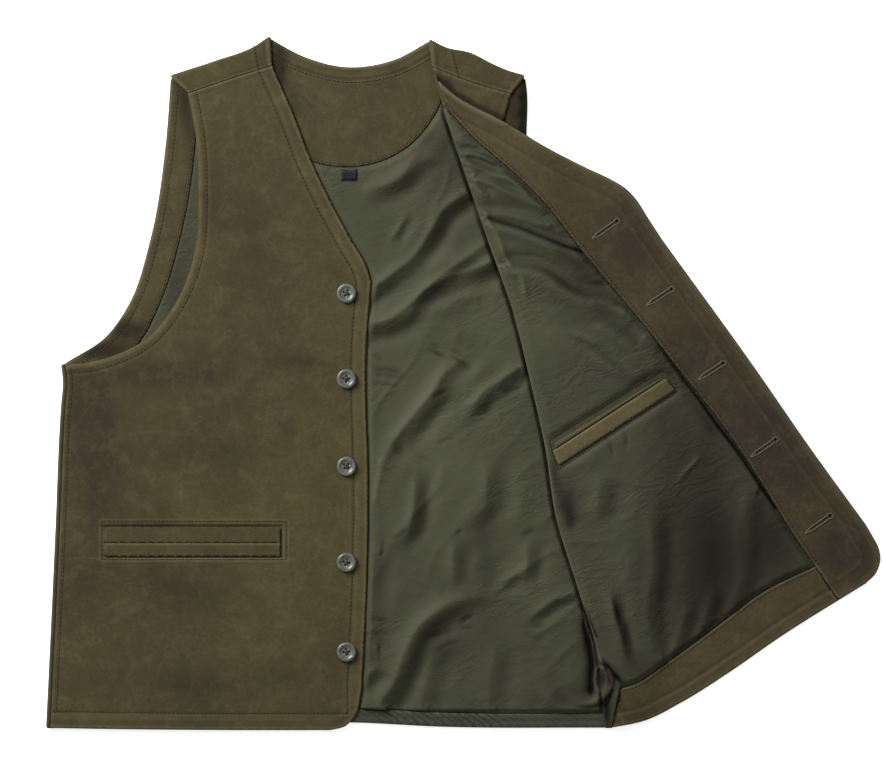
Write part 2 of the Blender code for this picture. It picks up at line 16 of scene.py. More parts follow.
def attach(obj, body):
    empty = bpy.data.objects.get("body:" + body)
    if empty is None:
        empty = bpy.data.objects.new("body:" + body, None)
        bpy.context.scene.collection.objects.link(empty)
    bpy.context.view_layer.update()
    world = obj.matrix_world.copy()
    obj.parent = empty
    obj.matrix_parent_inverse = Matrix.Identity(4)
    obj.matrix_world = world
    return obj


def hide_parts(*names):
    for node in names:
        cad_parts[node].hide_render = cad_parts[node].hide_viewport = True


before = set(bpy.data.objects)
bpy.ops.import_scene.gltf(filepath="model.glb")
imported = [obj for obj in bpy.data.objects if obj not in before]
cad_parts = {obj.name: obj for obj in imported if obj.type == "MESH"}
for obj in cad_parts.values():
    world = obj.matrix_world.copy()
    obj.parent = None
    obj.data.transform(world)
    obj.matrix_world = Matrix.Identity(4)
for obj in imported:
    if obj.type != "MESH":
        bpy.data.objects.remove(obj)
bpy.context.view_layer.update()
MM = 0.001

# Thickness of each cloth, and the gap between pieces that lie on each other
LEATHER = 1.5
SATIN = 1.0
TWILL = 1.2
RIBBON = 0.7
GAP = 0.3

# Bend radii at the middle of the wall, and the heights of the layers that they lead to
BACK_BEND = 2.2
FRONT_BEND = 1.5
BACK_MID = LEATHER / 2
FRONT_MID = BACK_MID + 2 * BACK_BEND
FLAP_MID = FRONT_MID + 2 * FRONT_BEND
LINING_BEND = FRONT_BEND + LEATHER / 2 + GAP + SATIN / 2
BACK_REACH = BACK_BEND + LEATHER / 2
LINING_REACH = LINING_BEND + SATIN / 2

# Where the turned-back front starts to come down beside the back, and over what distance
DESCENT_START = 2.0
DESCENT = 58.0

# Widths on the garment
SIDE_TURN = 4.6
INNER_MARGIN = 4.0
TUCK = 10.0
HEM_BAND = 14.0

# Spacing of the points on plain outlines
CHORD = 16.0

# Buttons and buttonholes
BUTTON_RADIUS = 9.5
BUTTON_SEAT = FRONT_MID + LEATHER / 2 + GAP
BUTTON_X = -113.0
BUTTON_Y = (87.0, 4.0, -81.0, -174.0, -261.0)
EYELET_RADIUS = 1.7

CENTRE_X = -113.0

# Outline curves, each row a point x, y that the smooth line runs through
BACK_NECK = ((-188, 335), (-154, 317), (-113, 307), (-67, 314), (-33, 332))
SHOULDER_LEFT = ((-284, 299), (-241, 313), (-203, 327), (-188, 337))
SHOULDER_RIGHT = ((-32, 334), (-16, 326), (7, 321), (27, 311), (43, 304), (60, 299))
ARMHOLE_LEFT = ((-284, 296), (-289, 232), (-304, 139), (-326, 74), (-346, 46), (-387, 19))
ARMHOLE_RIGHT = ((60.5, 296), (62, 285), (62, 232), (76, 139), (99, 88), (121, 50), (164, 19))
SIDE_LEFT = ((-390.5, 18), (-388.7, 2), (-390.5, -22), (-396, -144), (-400, -231), (-405, -335))
SIDE_RIGHT = ((168, 20), (160, -150), (146, -335))
BACK_HEM = ((-402, -335), (-255, -334), (-106, -330), (-22, -334), (143, -335))

SEAM_LEFT = ((-267, 281), (-226, 295), (-185, 308))
SEAM_RIGHT = ((-30, 307), (3, 294), (35, 284), (47, 281))
V_NECK = ((-185, 307.7), (-167, 267), (-146, 213), (-109, 140), (-93, 112), (-89, 98))
BUTTON_EDGE = ((-89, 98), (-94, 32), (-92, -94), (-93, -185), (-98, -297))
FRONT_CORNER = ((-98, -297), (-104, -322), (-114, -333), (-128, -337))
FRONT_HEM = ((-128, -337), (-216, -337), (-341, -336), (-399, -335))
FRONT_ARMHOLE = (
    (-385, 18), (-366, 19.5), (-345, 24.5), (-306, 44), (-276, 83), (-260.5, 127),
    (-257, 182), (-260, 243), (-267, 280.7),
)
HIDDEN_ARMHOLE = (
    (47, 280.7), (42, 263), (39, 240), (37, 187), (39, 139), (48, 92), (78, 50), (121, 27), (163, 19),
)

FOLD_LINE = (
    (-30, 298), (-16, 255), (4, 196), (24, 138), (48, 70), (64, 7),
    (80, -65), (90, -130), (110, -195), (130, -261), (137, -335),
)
FLAP_NECK = ((-26, 296), (-8, 280), (40, 253.5), (78, 230.5), (110, 214), (142, 199))
FLAP_CORNER = ((142, 199), (157, 190), (167, 180), (180, 160), (193, 140))
FLAP_EDGE = ((193, 140), (284, 14), (338, -64), (391, -137))
FLAP_ROUND = ((391, -137), (398, -149), (404, -161), (405.5, -171), (401, -185), (391, -195))
FLAP_HEM = ((391, -195), (308, -247), (259, -281), (213, -310), (179, -327), (140.5, -335))

FACING_EDGE = (
    (-21, 272), (13, 235), (40, 212), (76, 178), (120, 123), (171, 62),
    (217, 4), (248, -35), (278, -78), (321, -147), (342, -178),
)
FACING_SEAM_FOOT = (364, -211)
HEM_FACING_EDGE = ((342, -178), (293, -202), (247, -236), (196, -273), (164, -293), (152, -296))
HEM_FACING_FOOT = (144.5, -335)
NECK_FACING_HALF = ((-113, 209.5), (-75, 217), (-50, 232), (-34, 250), (-22, 270), (-18, 305))
ARMHOLE_FACING_EDGE = ((-258, 305), (-261, 219), (-274, 143), (-291, 85), (-315, 38), (-372, -4))

# Buttonholes, each row the inner end and the outer end
BUTTONHOLES = (
    (131, 144, 151, 158),
    (184, 79, 204, 92),
    (234, 7, 254, 20),
    (285, -68, 305, -54),
    (338, -142, 358, -128),
)

# Pockets: heights of the marks on the outer welts, the solids' corners x, y, and the low and high edge of
# each outer welt in the scene
WELT_TOP_Y = -139.6
WELT_RIDGE_Y = -156.3
WELT_FOOT_Y = -154.6
WELT_UPPER = ((-347, -141), (-178, -141), (-178, -154.8), (-347, -154.8))
WELT_LOWER = ((-347, -155.5), (-178, -155.5), (-178, -167), (-347, -167))
WELT_SPANS = (
    ("pocket_welt_upper", WELT_UPPER, -155.2, WELT_TOP_Y),
    ("pocket_welt_lower", WELT_LOWER, -168.4, -155.4),
)
INNER_WELT = ((87, -66), (197, 5), (206, -7), (93, -80))
INNER_STRIP = ((90, -63.1), (193.5, 3.7), (193, 5.6), (88, -59))
SIZE_TAB = ((-119, 208), (-103, 208), (-103, 196.5), (-119, 196.5))

# Largest folds of the linings, each row x0, y0, x1, y1, x2, y2 along the crest, half width, height
BACK_FOLDS = (
    (-11, 250, -42, 211, -84, 190, 9, 3.0),
    (-32, 173, -47, 146, -66, 117, 9, 3.0),
    (22, 118, -22, 118, -70, 90, 9, 4.5),
    (28, 96, -32, 71, -72, 56, 9, 4.0),
    (36, 26, -37, -32, -66, -103, 9, 4.0),
    (56, -4, 23, -17, -4, -35, 8, 3.0),
    (56, -122, 34, -138, 12, -156, 8, 2.5),
    (30, -196, -42, -244, -58, -298, 10, 4.0),
)
FLAP_FOLDS = (
    (8, 218, 30, 212, 58, 184, 8, 2.5),
    (36, 156, 66, 146, 104, 126, 8, 3.0),
    (62, 106, 104, 84, 146, 52, 10, 4.0),
    (92, 46, 133, 19, 170, 12, 9, 3.0),
    (150, -104, 160, -160, 172, -230, 14, 3.0),
    (272, -100, 276, -140, 268, -190, 13, 3.5),
)
PANEL_SWELLS = (
    (-330, 10, -250, -20, -170, -40, 40, 0.8),
    (-240, 230, -220, 120, -180, 20, 36, 0.7),
    (-360, -200, -280, -230, -180, -220, 40, 0.7),
)

# Mesh spacing: close to seams, on the narrow strip, on satin, on plain leather, under the facings, at
# hidden edges and on the rest of what is hidden
NEAR_SEAM = 1.5
STRIP_STEP = 0.7
ON_SATIN = 2.1
ON_LEATHER = 3.2
UNDER_FACING = 4.5
HIDDEN_EDGE = 2.2
HIDDEN = 9.0
EDGE_STEP = 1.8
TRACK_STEP = 6.0
BEND_STEPS = 10
EDGE_ROUND = 0.9
TURNED_ROUND = 0.7
FACING_ROUND = 1.3

# Gap in the scene between pieces that are sewn to each other
CLOSE = 0.1

# Stitches of the seams and of the inner pocket, and the dark beads of painted shade in the needle holes
# between them
STITCH_PITCH = 4.0
STITCH_LENGTH = 2.9
POCKET_PITCH = 3.2
POCKET_STITCH = 2.3
THREAD_RADIUS = 0.3
THREAD_RISE = 0.12
HOLE_RADIUS = 0.62
HOLE_DEPTH = 0.05

# Buttonholes: half width of the slit, radius of its eye, shift of the lower layer's slit, the stitches
# across it, the tail of stitches at its inner end and the cord round both
LIP = 0.15
EYE = 1.1
LOWER_SHIFT = 1.7
BAR_PITCH = 0.62
BAR_LENGTH = 1.7
BAR_RADIUS = 0.32
BAR_OUT = 0.85
BAR_RISE = 0.05
TAIL_LENGTH = 7.0
CORD_HALF = 1.9
CORD_EYE = 2.7
CORD_RADIUS = 0.48
CORD_RISE = 0.1

# Buttons: how far each is turned, in radians, its mesh, its four holes and the thread through them
BUTTON_TURNS = (0.3, 0.75, 0.1, 0.55, 0.9)
BUTTON_SIDES = 56
BUTTON_MESH = 1.1
BUTTON_HOLE = 1.0
HOLE_OFFSET = 1.9
HOLE_SIDES = 14
STRAND_SHIFT = 0.35
STRAND_RADIUS = 0.34

# Photograph in pixels, then camera and floor: places and heights in metres, lens and sensor in millimetres
PHOTO_WIDTH = 886
PIXEL_MM = 0.97
CENTRE_PIXEL = (463.0, 383.0)
VIEW_CENTRE = (-0.0194, -0.0005)
LENS = 180.0
SENSOR = 36.0
REFERENCE_HEIGHT = 0.008
FAR_CLIP = 20.0
FLOOR_HALF = 3.0
FLOOR_Z = -0.0006
FLOOR_WHITE = 0.93
FLOOR_GLOW = 0.65
SKY_STRENGTH = 0.3

# Lamps: name, place, size and power
LAMPS = (("key", (-1.7, 1.5, 1.4), 1.4, 140.0), ("fill", (0.4, 0.1, 2.4), 2.2, 7.0))

# How much higher than in their tables the linings' folds are, the height that they approach, how far a
# free lining stands off what lies under it, and the share that is kept of its largest folds
FOLD_GAIN = 1.6
FLAP_GAIN = 2.8
HIGHEST_FOLD = 8.5
FREE_LIFT = 3.0
FLAP_LIFT = 2.4
MAIN_SHARE = 0.7

# Uneven noise of the linings and the closed front: height, wave, seed and, if any, stretch and angle
BACK_MOTTLES = ((0.8, 34.0, 1.7, 2.2, 50.0), (0.12, 9.0, 4.4, 2.0, 60.0))
BACK_CRINKLES = ((0.9, 34.0, 5.5, 2.0, 55.0), (0.35, 13.0, 2.5, 2.2, -20.0))
FLAP_MOTTLES = ((0.7, 34.0, 9.7, 2.0, -25.0), (0.1, 9.0, 6.4, 2.0, -30.0))
FLAP_CRINKLES = ((0.8, 30.0, 7.5, 2.0, -30.0), (0.35, 12.0, 3.5, 2.2, 35.0))
FRONT_MOTTLES = ((0.1, 17.0, 3.1), (0.05, 6.0, 8.2))

# Folds of the back lining in pixels, top to bottom: height, half width, points.
# A band is a slope that faces the lower right, between a ridge and a trough. A line is one ridge or groove.
# Slopes and grooves are also painted darker and ridges lighter, as painted shade and highlight.
BACK_BANDS = (
    (1.5, 8, (432, 146), (419, 166), (402, 186), (378, 196), (356, 205)),
    (0.9, 4, (413, 210), (403, 229), (391, 250)),
    (2.2, 7, (467, 200), (448, 215), (438, 232), (418, 262), (394, 281), (370, 298)),
    (1.2, 5, (488, 248), (467, 263), (441, 282), (419, 301), (405, 314)),
    (2.2, 8, (499, 267), (474, 278), (449, 286), (432, 295), (413, 312), (392, 327), (368, 333)),
    (2.4, 8, (492, 354), (467, 365), (449, 381), (440, 395), (427, 411), (411, 431),
     (397, 451), (391, 471), (387, 496)),
    (2.0, 7, (522, 374), (503, 387), (488, 397), (478, 409), (460, 417)),
    (1.8, 7, (424, 458), (422, 486), (420, 511), (415, 530), (404, 545), (391, 557)),
    (1.6, 10, (494, 446), (496, 480), (494, 510), (480, 526), (460, 537)),
    (1.6, 8, (463, 536), (461, 560), (463, 592)),
    (1.0, 12, (490, 545), (487, 575), (480, 596)),
    (1.4, 7, (534, 536), (534, 565), (529, 592)),
    (2.3, 9, (480, 597), (450, 613), (424, 634), (411, 662), (401, 688), (390, 704)),
    (1.2, 6, (385, 666), (375, 677), (364, 688)),
    (1.3, 7, (543, 672), (552, 690), (570, 703), (592, 701), (606, 688)),
    (1.2, 5, (579, 597), (557, 604), (543, 614), (529, 626)),
    (0.8, 5, (531, 572), (515, 580), (498, 590)),
    (0.9, 9, (444, 636), (438, 668), (430, 704)),
    (0.8, 9, (508, 634), (501, 668), (497, 704)),
    (0.8, 8, (380, 560), (376, 600), (378, 640)),
)
BACK_LINES = (
    (-0.8, 2.4, (451, 388), (441, 393), (430, 400)),
    (-0.6, 2.2, (520, 388), (510, 391), (502, 396)),
    (-0.5, 2.0, (424, 348), (434, 352), (446, 359)),
    (-0.5, 2.0, (428, 343), (442, 350)),
    (-0.8, 1.8, (449, 355), (460, 361), (473, 370)),
    (-0.5, 1.6, (432, 352), (444, 357), (452, 363)),
    (-0.5, 1.6, (445, 347), (458, 353), (470, 361)),
    (-0.5, 1.6, (376, 384), (390, 385), (404, 390)),
    (-0.5, 1.6, (436, 446), (446, 440), (458, 436)),
    (-0.6, 2.0, (456, 365), (465, 368), (475, 372)),
    (-0.5, 2.0, (377, 370), (392, 371), (412, 378)),
    (-0.5, 2.0, (378, 375), (395, 377), (410, 382)),
    (-0.4, 2.0, (375, 356), (385, 362)),
    (-0.5, 2.0, (393, 445), (400, 449), (408, 454)),
    (-0.5, 2.0, (393, 450), (400, 454), (406, 458)),
    (-0.4, 2.0, (416, 455), (432, 462)),
    (-0.6, 2.2, (410, 526), (401, 535), (391, 542)),
    (-0.6, 2.0, (464, 530), (454, 535)),
    (-0.6, 2.2, (536, 530), (520, 537)),
    (-0.8, 2.4, (477, 613), (468, 618), (457, 626)),
    (-0.5, 2.2, (456, 627), (466, 628), (478, 627)),
    (-0.4, 2.2, (527, 625), (548, 627)),
    (-0.4, 2.2, (544, 613), (529, 625)),
    (-0.4, 2.2, (462, 630), (440, 634), (420, 641)),
    (-0.4, 2.2, (463, 641), (446, 645), (430, 657)),
    (-0.4, 2.2, (372, 619), (392, 623)),
    (-0.4, 2.2, (366, 634), (390, 634)),
    (-0.4, 2.2, (520, 634), (545, 640)),
    (0.7, 3.0, (381, 460), (378, 480), (375, 500)),
)
FLAP_BANDS = (
    (1.4, 3.2, (456, 154), (468, 152), (482, 155), (498, 162), (508, 168)),
    (1.9, 4, (466, 160), (480, 166), (494, 172), (510, 176), (522, 184), (532, 194)),
    (1.3, 3.5, (476, 176), (490, 180), (510, 190), (530, 198), (544, 204)),
    (0.9, 3, (470, 182), (480, 188), (486, 193)),
    (0.8, 4, (484, 210), (500, 211), (524, 216), (546, 222)),
    (1.6, 5, (488, 219), (500, 223), (520, 229), (540, 237), (560, 245), (582, 253)),
    (1.9, 6, (511, 266), (530, 267), (541, 270), (552, 276), (564, 286), (580, 294), (612, 300), (630, 309)),
    (1.1, 7, (585, 315), (610, 325), (632, 340), (650, 358)),
    (0.9, 6, (556, 329), (588, 331), (614, 344), (648, 370)),
    (0.8, 5, (589, 344), (611, 362), (634, 378)),
    (0.7, 9, (669, 486), (661, 520), (662, 566), (656, 612), (662, 650)),
    (0.5, 9, (756, 500), (747, 536), (752, 572), (742, 606)),
    (1.3, 5, (604, 584), (615, 596), (619, 613), (624, 632), (631, 668)),
    (0.7, 7, (696, 596), (688, 630), (678, 660)),
    (0.7, 7, (722, 584), (714, 612), (704, 640)),
    (0.9, 10, (612, 470), (608, 500), (604, 530)),
)
FLAP_LINES = (
    (-1.4, 1.8, (486, 218), (500, 222), (520, 228), (540, 236), (560, 244), (582, 252)),
    (-0.8, 1.6, (458, 158), (470, 157), (484, 160), (497, 166)),
    (-0.8, 1.6, (463, 165), (476, 169), (490, 176)),
    (-0.6, 1.6, (500, 166), (512, 172), (524, 180)),
    (0.8, 1.8, (466, 171), (474, 172), (471, 178), (477, 182)),
    (-0.7, 1.6, (484, 222), (494, 226), (500, 231)),
    (0.9, 2.6, (485, 214), (489, 224), (495, 232), (499, 240), (504, 254), (510, 266)),
    (0.8, 2.4, (514, 268), (521, 277), (524, 290), (528, 306)),
    (-1.0, 8.0, (553, 470), (561, 492), (569, 516), (580, 540)),
    (0.7, 2.0, (706, 450), (690, 467), (674, 486)),
    (-0.8, 4.0, (660, 372), (645, 379), (626, 389)),
    (-0.9, 3.0, (613, 592), (617, 612), (621, 630)),
    (-0.5, 2.2, (590, 300), (604, 306), (618, 305)),
    (-0.5, 2.2, (560, 334), (590, 346), (612, 364)),
    (-0.5, 1.8, (606, 436), (612, 448), (614, 460)),
    (-0.5, 1.8, (622, 428), (627, 440), (626, 452)),
)
# Strokes of painted shade on the open front's lining, and of painted shade and of raised folds with painted
# highlight at the side seam's foot
FLAP_DARKS = (
    (0.6, 2.6, (613, 592), (616, 608), (620, 625), (624, 640), (630, 652), (637, 659)),
    (0.5, 8.0, (612, 598), (618, 630), (628, 655), (640, 668)),
    (2.0, 1.8, (656, 340), (664, 352), (678, 372), (698, 398), (718, 426), (738, 452),
     (758, 482), (776, 508)),
    (0.7, 6.0, (648, 344), (660, 358), (674, 378), (694, 404), (712, 430)),
    (0.35, 10.0, (668, 480), (664, 530), (663, 590), (665, 645)),
    (0.6, 6.0, (540, 238), (562, 252), (580, 268), (600, 284)),
    (0.8, 1.6, (574, 246), (586, 258), (600, 274), (620, 296)),
)
FOOT_DARKS = (
    (2.4, 1.5, (581, 604), (584, 617), (586, 630), (589, 642)),
    (2.4, 3.2, (586, 626), (588, 638), (590, 650), (592, 664), (591.5, 680), (591, 692)),
    (0.8, 6.5, (583, 622), (586, 645), (588, 668), (588, 694)),
    (1.8, 1.0, (584, 606), (589, 617), (594, 630), (597, 637)),
    (2.4, 2.8, (602, 661), (608, 668), (615, 675), (622, 682), (629, 686.5)),
    (2.4, 2.2, (607, 668), (609, 677), (613, 683)),
    (1.6, 2.4, (613, 688), (609, 697), (603, 704), (596, 707), (584, 708), (570, 706)),
    (1.0, 4.0, (600.5, 671), (601, 678), (600, 685)),
    (0.9, 4.0, (606, 700), (607, 712), (609, 726)),
)
FOOT_LIGHTS = (
    (0.4, 1.2, (596, 670), (595, 680), (597, 689), (600, 692), (604, 690), (606, 683),
     (606, 674), (603, 667)),
    (0.3, 1.2, (597, 669), (599, 666), (603, 667)),
    (0.35, 1.4, (608, 670), (611, 679), (611, 686), (607, 691), (602, 696), (593, 701),
     (585, 703.5), (577, 702)),
    (0.5, 1.0, (583, 612), (588, 628), (592, 640), (597, 652), (602, 662)),
)

# Soft swells of the leather panels in pixels: height, half width, points
FRONT_SWELLS = (
    (-0.5, 16, (230, 190), (260, 250), (270, 330)),
    (0.5, 18, (60, 390), (140, 372), (230, 392)),
    (-0.4, 14, (80, 440), (170, 430), (300, 446)),
    (0.4, 16, (120, 610), (210, 590), (300, 630)),
    (-0.4, 18, (60, 640), (160, 660), (260, 640)),
    (0.35, 12, (300, 380), (310, 460), (300, 540)),
)
BACK_SWELLS = (
    (0.55, 22, (130, 330), (240, 352), (420, 310)),
    (0.5, 20, (100, 520), (260, 500), (500, 540)),
    (0.5, 18, (180, 650), (360, 610), (520, 650)),
    (0.45, 16, (300, 150), (320, 260), (300, 400)),
)
FLAP_SWELLS = (
    (0.9, 20, (570, 190), (640, 300), (740, 440)),
    (0.7, 20, (560, 400), (640, 450), (730, 500)),
    (0.7, 18, (650, 640), (720, 600), (800, 530)),
)


def photo(points):
    """Pixels of the photograph as millimetres on the floor."""
    px = np.array(points, float)
    return (px - CENTRE_PIXEL) * (PIXEL_MM, -PIXEL_MM)


def run_lengths(line):
    """Length of the line up to each of its points."""
    return np.concatenate(([0.0], np.cumsum(np.hypot(*np.diff(line, axis=0).T))))


def resample(line, step):
    """The same line with a point about every step, its corners kept round."""
    line = np.array(line, float)
    along = run_lengths(line)
    stops = np.linspace(0.0, along[-1], max(1, round(along[-1] / step)) + 1)
    return np.column_stack([np.interp(stops, along, line[:, k]) for k in (0, 1)])


def curve(rows, step=CHORD):
    """A smooth line through the rows, with a point about every step."""
    knots = np.array(rows, float)
    if len(knots) > 2:
        along = run_lengths(knots)
        slopes = np.gradient(knots, along, axis=0)
        t = np.linspace(0.0, 1.0, 17)[:, None]
        pieces = []
        for i in range(len(knots) - 1):
            span = along[i + 1] - along[i]
            pieces.append(
                knots[i] * (2 * t**3 - 3 * t**2 + 1)
                + knots[i + 1] * (3 * t**2 - 2 * t**3)
                + slopes[i] * span * (t**3 - 2 * t**2 + t)
                + slopes[i + 1] * span * (t**3 - t**2)
            )
        knots = np.vstack(pieces)
    return resample(knots, step)


def closed(*curves):
    """The curves end to end as one loop, without the ends that they share."""
    points = np.vstack(curves)
    step = np.hypot(*(points - np.roll(points, 1, axis=0)).T)
    return points[step > 0.4]


def patch(corners, step):
    """A loop with straight sides between the corners."""
    return closed(*(curve(pair, step) for pair in zip(corners, corners[1:] + corners[:1])))


def shut(ring):
    """The ring with its first point repeated at its end."""
    return np.vstack((ring, ring[:1]))


def sideways(line):
    """The unit vector to the left of the way the line runs, at each of its points."""
    run = np.gradient(line, axis=0)
    run /= np.maximum(np.hypot(run[:, 0], run[:, 1]), 1e-9)[:, None]
    return np.column_stack((-run[:, 1], run[:, 0]))


def beside(points, line):
    """How far each point lies to the left of the line, and where along it, from 0 to 1."""
    best = np.full(len(points), np.inf)
    across = np.zeros(len(points))
    share = np.zeros(len(points))
    along = run_lengths(line)
    for i in range(len(line) - 1):
        span = line[i + 1] - line[i]
        t = np.clip((points - line[i]) @ span / max(span @ span, 1e-9), 0.0, 1.0)
        away = points - line[i] - t[:, None] * span
        far = np.hypot(*away.T)
        nearer = far < best
        side = np.where(span[0] * away[:, 1] - span[1] * away[:, 0] < 0, -1.0, 1.0)
        best = np.where(nearer, far, best)
        across = np.where(nearer, far * side, across)
        share = np.where(nearer, (along[i] + t * (along[i + 1] - along[i])) / along[-1], share)
    return across, share


def distance(points, line):
    """How far each point lies from the nearest stretch of the line."""
    return np.abs(beside(points, line)[0])


def inside(points, loop):
    """Whether each point lies within the loop."""
    odd = np.zeros(len(points), bool)
    for (ax, ay), (bx, by) in zip(loop, np.roll(loop, -1, axis=0)):
        if ay == by:
            continue
        crosses = (points[:, 1] < ay) != (points[:, 1] < by)
        odd ^= crosses & (points[:, 0] < ax + (points[:, 1] - ay) * (bx - ax) / (by - ay))
    return odd


def bell(t):
    """1 at 0, falling to almost 0 at 2 on both sides."""
    return np.exp(-(t**2))


def in_any(points, loops):
    """Whether each point lies within any of the loops."""
    return np.any([inside(points, loop) for loop in loops], axis=0)


def ramp(t):
    """Smooth step from 0 to 1."""
    t = np.clip(t, 0.0, 1.0)
    return t * t * (3 - 2 * t)


def above_zero(height, soft=0.5):
    """The height with what lies below zero pressed flat."""
    return 0.5 * (height + np.sqrt(height * height + soft * soft)) - 0.5 * soft * np.exp(-(height**2))


def ripple(along, wave, seed):
    """An uneven wave along a line, about -1 to 1."""
    turn = 2 * math.pi * along / wave
    return (
        0.5 * np.sin(turn + seed)
        + 0.32 * np.sin(1.63 * turn + 2.3 * seed)
        + 0.22 * np.sin(2.71 * turn + 5.1 * seed)
    )


def mottle(xy, wave, seed, stretch=1.0, angle=0.0):
    """Smooth noise with bumps about wave wide, and stretch times as long at the angle in degrees."""
    turn = math.radians(angle)
    u = (xy[:, 0] * math.cos(turn) + xy[:, 1] * math.sin(turn)) / (wave * stretch)
    v = (xy[:, 1] * math.cos(turn) - xy[:, 0] * math.sin(turn)) / wave
    return np.array([noise.noise((a, b, seed)) for a, b in zip(u.tolist(), v.tolist())])


def crinkle(xy, wave, seed, stretch=1.0, angle=0.0):
    """Thin uneven creases, each a sharp ridge between shallow facets, 0 to 1."""
    pushed = [mottle(xy, 2.2 * wave, seed + other) for other in (31, 47)]
    warp = 0.35 * wave * np.column_stack(pushed)
    crease = np.clip(1 - np.abs(mottle(xy + warp, wave, seed, stretch, angle)) / 0.32, 0, 1)
    return crease**1.6 * (0.5 + 0.5 * np.clip(2.5 * mottle(xy, 3 * wave, seed + 9) + 0.6, 0, 1))


def layers(xy, noise_of, rows):
    """Sum of layers of noise, each row its height and the settings of its noise."""
    return sum(height * noise_of(xy, *settings) for height, *settings in rows)


def tree_of(points):
    tree = KDTree(len(points))
    for i, p in enumerate(points.tolist()):
        tree.insert(p if len(p) == 3 else (*p, 0.0), i)
    tree.balance()
    return tree


class Seam:
    """A line of sewing. It measures how far a point lies across it, on the cloth's side, and along it."""

    def __init__(self, line, side, step=0.8):
        self.step = step
        self.points = resample(line, step)
        self.normal = sideways(self.points) * side
        self.along = np.arange(len(self.points)) * step
        self.tree = tree_of(self.points)

    def measure(self, xy, reach):
        low = self.points.min(axis=0) - reach
        high = self.points.max(axis=0) + reach
        close = np.flatnonzero(((xy > low) & (xy < high)).all(axis=1))
        found = [self.tree.find((x, y, 0.0))[1] for x, y in xy[close].tolist()]
        away = xy[close] - self.points[found]
        across = (away * self.normal[found]).sum(axis=1)
        far = np.hypot(*away.T)
        past_end = far**2 - across**2 > self.step**2
        across = np.where(past_end, np.copysign(far, across), across)
        return close, across, self.along[found]

    def moved(self, offset, step):
        """The line that runs beside the seam at the offset."""
        return resample(self.points + self.normal * offset, step)


def sewing(xy, rows):
    """Height of the ridges and grooves beside seams, and their wear: lighter where rubbed and as painted
    highlight on rolled edges, below zero painted shade in the grooves.
    """
    lift = np.zeros(len(xy))
    wear_and_shade = np.zeros(len(xy))
    for seam, marks in rows:
        close, across, along = seam.measure(xy, max(offset + 3 * width for offset, _, width, _ in marks))
        for offset, height, width, worn_and_shaded in marks:
            near = bell((across - offset) / width)
            near *= 0.82 + 0.18 * ripple(along, 33.0, offset)
            lift[close] += height * near
            wear_and_shade[close] += worn_and_shaded * near
    return lift, wear_and_shade


def gathers(xy, rows):
    """Short wrinkles that run away from a seam on the cloth's side."""
    lift = np.zeros(len(xy))
    for seam, start, reach, height, wave, seed in rows:
        close, across, along = seam.measure(xy, start + 4 * reach)
        past = across - start
        fade = ramp(past / 1.5 + 0.5) * np.exp(-np.maximum(past, 0.0) / reach)
        strength = 0.55 + 0.45 * ripple(along, 6.1 * wave, seed + 1)
        lift[close] += height * fade * strength * ripple(along + 0.35 * past, wave, seed)
    return lift


def strokes(xy, rows, profile, anchors=((1e6, 1e6), (1e6, 1e6))):
    """Sum of the folds in a table. A fold fades at an end that is far from the anchors, which are seams."""
    anchors = np.array(anchors, float)
    lift = np.zeros(len(xy))
    for height, width, *points in rows:
        line = curve(photo(points), 4.0)
        low = line.min(axis=0) - 3.2 * width
        high = line.max(axis=0) + 3.2 * width
        close = np.flatnonzero(((xy > low) & (xy < high)).all(axis=1))
        across, share = beside(xy[close], line)
        loose = distance(line[[0, -1]], anchors) > 14.0
        fade = ramp(share * np.where(loose[0], 2.6, 12.0) + np.where(loose[0], 0.0, 0.7))
        fade *= ramp((1 - share) * np.where(loose[1], 2.6, 12.0) + np.where(loose[1], 0.0, 0.7))
        lift[close] += height * profile(across / width) * fade
    return lift


def band(t):
    """A slope down to the left of the line, from a crisp ridge before it to a soft trough after it."""
    return 1.25 * np.exp(-(np.abs(t + 1) ** 1.3)) - 0.85 * bell((t - 1) / 1.1)


def slope(t):
    """The painted shade of a band's slope and the painted highlight of its ridge."""
    return bell((t - 0.2) / 0.8) - 0.6 * bell((t + 1.2) / 0.7)


def groove(t):
    """A ridge or groove on the line."""
    return np.exp(-np.abs(t) ** 1.6)


def crests(xy, folds):
    """Height of the folds in a table at each point, round across and fading at both ends."""
    height = np.zeros(len(xy))
    for x0, y0, x1, y1, x2, y2, width, crest in folds:
        line = curve(((x0, y0), (x1, y1), (x2, y2)), width)
        ends = np.minimum(np.hypot(*(xy - line[0]).T), np.hypot(*(xy - line[-1]).T))
        across = bell(distance(xy, line) / width)
        height = np.maximum(height, crest * across * (0.35 + 0.65 * ramp(ends / (3 * width))))
    return height


def mirrored(rows):
    """The same points on the other side of the garment's centre line, in the other order."""
    return tuple((2 * CENTRE_X - x, y) for x, y in rows[::-1])


def neck_facing_edge(step=CHORD):
    """Lower edge of the half-moon facing, the same on both sides of the centre line."""
    return curve(mirrored(NECK_FACING_HALF)[:-1] + NECK_FACING_HALF, step)


def boundary(faces):
    """The directed edges that only one triangle uses."""
    edges = np.vstack((faces[:, (0, 1)], faces[:, (1, 2)], faces[:, (2, 0)]))
    base = int(faces.max()) + 1
    key = edges[:, 0] * base + edges[:, 1]
    back = edges[:, 1] * base + edges[:, 0]
    return edges[~np.isin(key, back)]


